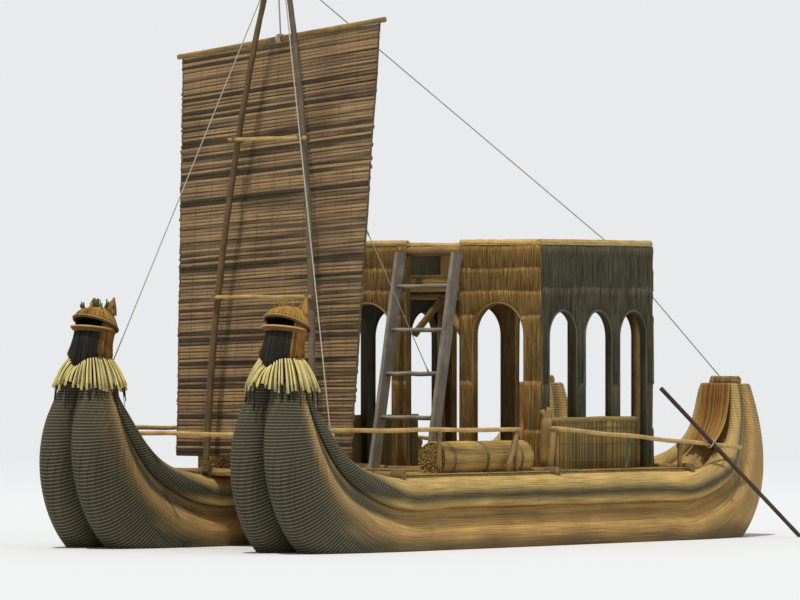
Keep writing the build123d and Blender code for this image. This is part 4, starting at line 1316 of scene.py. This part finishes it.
def rigging():
    """The stays, the sheet on the ladder, the halyard and the lashings where poles cross."""
    head = on_mast(0.0, LEG_LINE[2][1] - STAY_DROP)
    far_bow = np.array((0.02, 1.22, 1.34))
    taut("far_bow_stay", [head + ACROSS * STAY_APART, far_bow], FAR_STAY_RADIUS, ROPE)
    rail_end = np.array((0.345, -1.345, 1.100))
    taut("near_bow_stay", [head - ACROSS * STAY_APART, rail_end], STAY_RADIUS, ROPE)
    cap_low, cap_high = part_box("port_stern_cap")
    knot = np.array((cap_high[0] - 0.02, (cap_low[1] + cap_high[1]) / 2 + 0.10, cap_high[2] + 0.004))
    rim = np.array((CABIN_FRONT + 1.02, -CABIN_HALF + 0.03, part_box("wall_rims")[1][2] + 0.006))
    taut("stern_stay", [head + MAST_AFT * 0.03, rim, knot], STAY_RADIUS, ROPE, tied=False)
    sheet_top = on_mast(SAIL_MIDDLE - 1.13, 2.27, SAIL_AFT + 0.01)
    ladder_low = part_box("ladder_rungs")[0]
    rung = np.array((ladder_low[0] + 0.095, -0.20, 1.612))
    taut("sail_sheet", [sheet_top, rung], SHEET_RADIUS, ROPE)
    halyard_start, halyard_end, _ = pole_line(node_points("halyard"))
    heap = Heap()
    heap.add(*tube(line(halyard_start, halyard_end, 8), HALYARD_RADIUS, 8))
    heap.make("halyard_rope", ROPE, BOAT, ("halyard",))

    rng = np.random.default_rng(77)
    ropes = Heap()
    for _, side in SIDES:
        lashing(ropes, on_mast(side * LEG_LINE[0][0], 0.06), MAST_UP, *FOOT_TIE, rng)
        for up in RUNG_UPS:
            lashing(ropes, on_mast(side * leg_across(up), up, -0.016), MAST_UP, *RUNG_TIE, rng)
        crossing = on_mast(side * leg_across(CROSSPIECE_UP), CROSSPIECE_UP, 0.012)
        lashing(ropes, crossing, MAST_UP, *CROSS_TIE, rng)
    for x in BEAMS:
        for _, side in SIDES:
            for offset in (-GUNWALE_OFF, GUNWALE_OFF):
                lashing(ropes, (x, side * HULL_Y + offset, BEAM_Z), (0, 1, 0), *BEAM_TIE, rng)
    for hull, _ in SIDES:
        for place in ("fore", "aft"):
            for points in islands(f"{hull}_{place}_rail_posts"):
                low, high = points.min(axis=0), points.max(axis=0)
                middle = (low + high) / 2
                lashing(ropes, (middle[0], middle[1], high[2] - 0.045), (0, 0, 1), *POST_TIE, rng)
    ropes.make("lashings", TWINE, BOAT)
    loops = Heap()
    lashing(loops, on_mast(SAIL_MIDDLE, YARD_UP, SAIL_AFT), (0, 1, 0), *YARD_TIE, rng)
    loops.make("yard_lashing", ROPE, SAIL)
    head_ropes = Heap()
    lashing(head_ropes, on_mast(0.0, LEG_LINE[2][1] - 0.13), MAST_UP, *HEAD_TIE, rng)
    head_ropes.make("masthead_lashing", ROPE, BOAT)
    loops = Heap()
    for turn in range(OAR_TURNS):
        tilt = 0.9 + 0.2 * (turn - (OAR_TURNS - 1) / 2)
        normal = RAIL_RUN + tilt * OAR_RUN
        centre = OAR_PIVOT - OAR_LIFT * 0.0217
        ring = ring_line(centre, OAR_LOOP, normal, count=30)
        loops.add(*tube(ring, OAR_ROPE, 6))
    loops.make("oar_lashing", ROPE, BOAT)


rigging()


# Small trim: forked trunk, leaning props, brace, the low walls' top poles and green cord

DECK_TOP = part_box("deck_mat")[1][2]
PROP_OUT = 1.560  # from the boat's middle to the leaning props
PROPS = (  # foot and top as x, distance out and z, then the radius and the radius of the knob on top
    ((2.700, PROP_OUT, DECK_TOP), (2.850, PROP_OUT, 1.085), 0.026, 0.034),
    ((3.350, PROP_OUT, DECK_TOP), (3.415, PROP_OUT, 1.090), 0.030, 0.036),
    ((3.470, 1.420, DECK_TOP), (3.490, 1.415, 1.200), 0.056, 0.0),  # the trunk
    ((3.488, 1.415, 1.150), (3.520, 1.440, 1.290), 0.034, 0.0),  # its aft arm
    ((3.488, 1.415, 1.160), (3.440, 1.395, 1.265), 0.030, 0.0),  # its fore arm
    ((CABIN_FRONT + 0.09, 0.300, 1.980), (CABIN_FRONT + 0.16, 0.02, 2.330), 0.034, 0.0),  # the brace
)
KNOB = ((-0.020, 0.6), (-0.008, 1.0), (0.008, 1.0), (0.020, 0.6))  # height, and share of its radius
TOP_POLE_OUT, TOP_POLE_UP, TOP_POLE_PAST = 0.028, 0.010, 0.02  # off the cabin, over the wall, past its ends
TOP_POLE_RADIUS = 0.030
GREEN_CORD = ((4.580, -1.592, 1.010), (4.500, -1.600, DECK_TOP + 0.012))
GREEN_LASHING = ((3.440, -1.600, DECK_TOP + 0.012), (3.760, -1.635, DECK_TOP + 0.010))


def prop(heap, start, end, radius, rng, knob=0.0):
    """A crooked thick prop, with a knob at its upper end."""
    run, radii = knotty(start, end, radius, rng, 0.006, taper=0.10)
    heap.add(*tube(run, radii, 10), tone=rng.uniform(0.35, 0.7))
    if knob:
        tip = np.asarray(end, float)
        points = [tip + UP * height for height, _ in KNOB]
        heap.add(*tube(points, np.array([share for _, share in KNOB]) * knob, 10))


def trim():
    """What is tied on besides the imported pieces; the starboard side's share of it is a guess."""
    rng = np.random.default_rng(31)
    props = Heap()
    for _, side in SIDES:
        for foot, top, radius, knob in PROPS:
            ends = [(x, side * out, z) for x, out, z in (foot, top)]
            prop(props, *ends, radius, rng, knob)
    props.make("props", POLE, BOAT, ())
    tops = Heap()
    for hull, side in SIDES:
        low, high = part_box(f"{hull}_low_wall")
        y = side * (CABIN_HALF + TOP_POLE_OUT)
        ends = [(x, y, high[2] + TOP_POLE_UP) for x in (low[0] - TOP_POLE_PAST, high[0] + TOP_POLE_PAST)]
        run, radii = knotty(*ends, TOP_POLE_RADIUS, rng, 0.004)
        tops.add(*tube(run, radii, 10), tone=0.4)
    tops.make("low_wall_tops", MAT, BOAT, ())
    taut("green_cord", GREEN_CORD, 0.006, GREENROPE)
    taut("green_lashing", GREEN_LASHING, 0.007, GREENROPE, tied=False)


trim()


# Stage, camera and light

VIEW_TURN = 51.2  # degrees round from broadside, towards the bows
EYE_HEIGHT, FAR, ASIDE, FOCAL = 2.03, 60.77, 1.90, 6600.0  # metres, and pixels at 800 wide
PITCH_UP = 30.0  # pixels by which the horizon lies below the picture's middle
SKY_LEVEL = 0.42


def camera():
    """The photograph's view: level with the cabin's arches, far off with a long lens."""
    data = bpy.data.cameras.new("camera")
    data.sensor_width = 36.0
    data.lens = FOCAL * 36.0 / 800
    data.clip_end = 400.0
    obj = bpy.data.objects.new("camera", data)
    turn = math.radians(VIEW_TURN)
    ahead = Vector((math.sin(turn), math.cos(turn), 0))
    right = Vector((math.cos(turn), -math.sin(turn), 0))
    obj.location = right * ASIDE - ahead * FAR + Vector((0, 0, EYE_HEIGHT))
    look = ahead + Vector((0, 0, PITCH_UP / FOCAL))
    obj.rotation_euler = look.to_track_quat("-Z", "Y").to_euler()
    SCENE.collection.objects.link(obj)
    SCENE.camera = obj


PALE = srgb(232, 234, 236)  # of the floor, and of the backdrop that it fades into
CLEAR_FROM, CLEAR_TO = 14.0, 40.0  # metres from the boat between which the floor fades


def floor_material():
    """A matt pale floor that fades into the backdrop far from the boat."""
    net = Net("floor")
    net.shader.inputs["Base Color"].default_value = PALE
    net.shader.inputs["Roughness"].default_value = 0.9
    place = net.node("TexCoord").outputs["Object"]
    distance = net.node("VectorMath", operation="LENGTH")
    net.feed(place, distance.inputs[0])
    fade = net.node("MapRange", From_Min=CLEAR_FROM, From_Max=CLEAR_TO)
    net.feed(distance.outputs["Value"], fade.inputs["Value"])
    mix = net.node("MixShader")
    net.feed(fade.outputs[0], mix.inputs[0])
    net.feed(net.shader.outputs[0], mix.inputs[1])
    net.feed(net.node("BsdfTransparent").outputs[0], mix.inputs[2])
    net.feed(mix.outputs[0], net.tree.nodes["Material Output"].inputs["Surface"])
    return net.mat


def stage():
    """A pale floor at the waterline, a backdrop of the same colour and a soft sky."""
    bpy.ops.mesh.primitive_circle_add(vertices=96, radius=CLEAR_TO + 5, fill_type="NGON", location=(3.0, 0, 0))
    floor = bpy.context.object
    floor.name = "floor"
    floor.data.materials.append(floor_material())
    world = bpy.data.worlds.new("world")
    SCENE.world = world
    world.use_nodes = True
    tree = world.node_tree
    sky = tree.nodes["Background"]
    sky.inputs[0].default_value = (0.84, 0.90, 1.0, 1)
    sky.inputs[1].default_value = SKY_LEVEL
    backdrop = tree.nodes.new("ShaderNodeBackground")
    backdrop.inputs[0].default_value = PALE
    backdrop.inputs[1].default_value = 1.0
    path = tree.nodes.new("ShaderNodeLightPath")
    seen = path.outputs["Is Camera Ray"]
    for kind in ("Is Glossy Ray", "Is Transmission Ray"):
        either = tree.nodes.new("ShaderNodeMath")
        either.operation = "MAXIMUM"
        tree.links.new(seen, either.inputs[0])
        tree.links.new(path.outputs[kind], either.inputs[1])
        seen = either.outputs[0]
    mix = tree.nodes.new("ShaderNodeMixShader")
    tree.links.new(seen, mix.inputs[0])
    tree.links.new(sky.outputs[0], mix.inputs[1])
    tree.links.new(backdrop.outputs[0], mix.inputs[2])
    tree.links.new(mix.outputs[0], tree.nodes["World Output"].inputs[0])


def sun(name, azimuth, height, strength, angle, colour):
    """A soft sun from an azimuth measured as the views are, and a height in degrees."""
    data = bpy.data.lights.new(name, "SUN")
    data.energy = strength
    data.angle = math.radians(angle)
    data.color = colour
    obj = bpy.data.objects.new(name, data)
    turn, rise = math.radians(azimuth), math.radians(height)
    back = Vector((math.sin(turn) * math.cos(rise), -math.cos(turn) * math.cos(rise), math.sin(rise)))
    obj.rotation_euler = back.to_track_quat("Z", "Y").to_euler()
    SCENE.collection.objects.link(obj)


camera()
stage()
sun("high_sun", -80.0, 72.0, 2.35, 2.0, (1.0, 0.95, 0.86))
sun("fill", 10.0, 30.0, 0.25, 60.0, (0.9, 0.95, 1.0))
SCENE.view_settings.view_transform = "Standard"
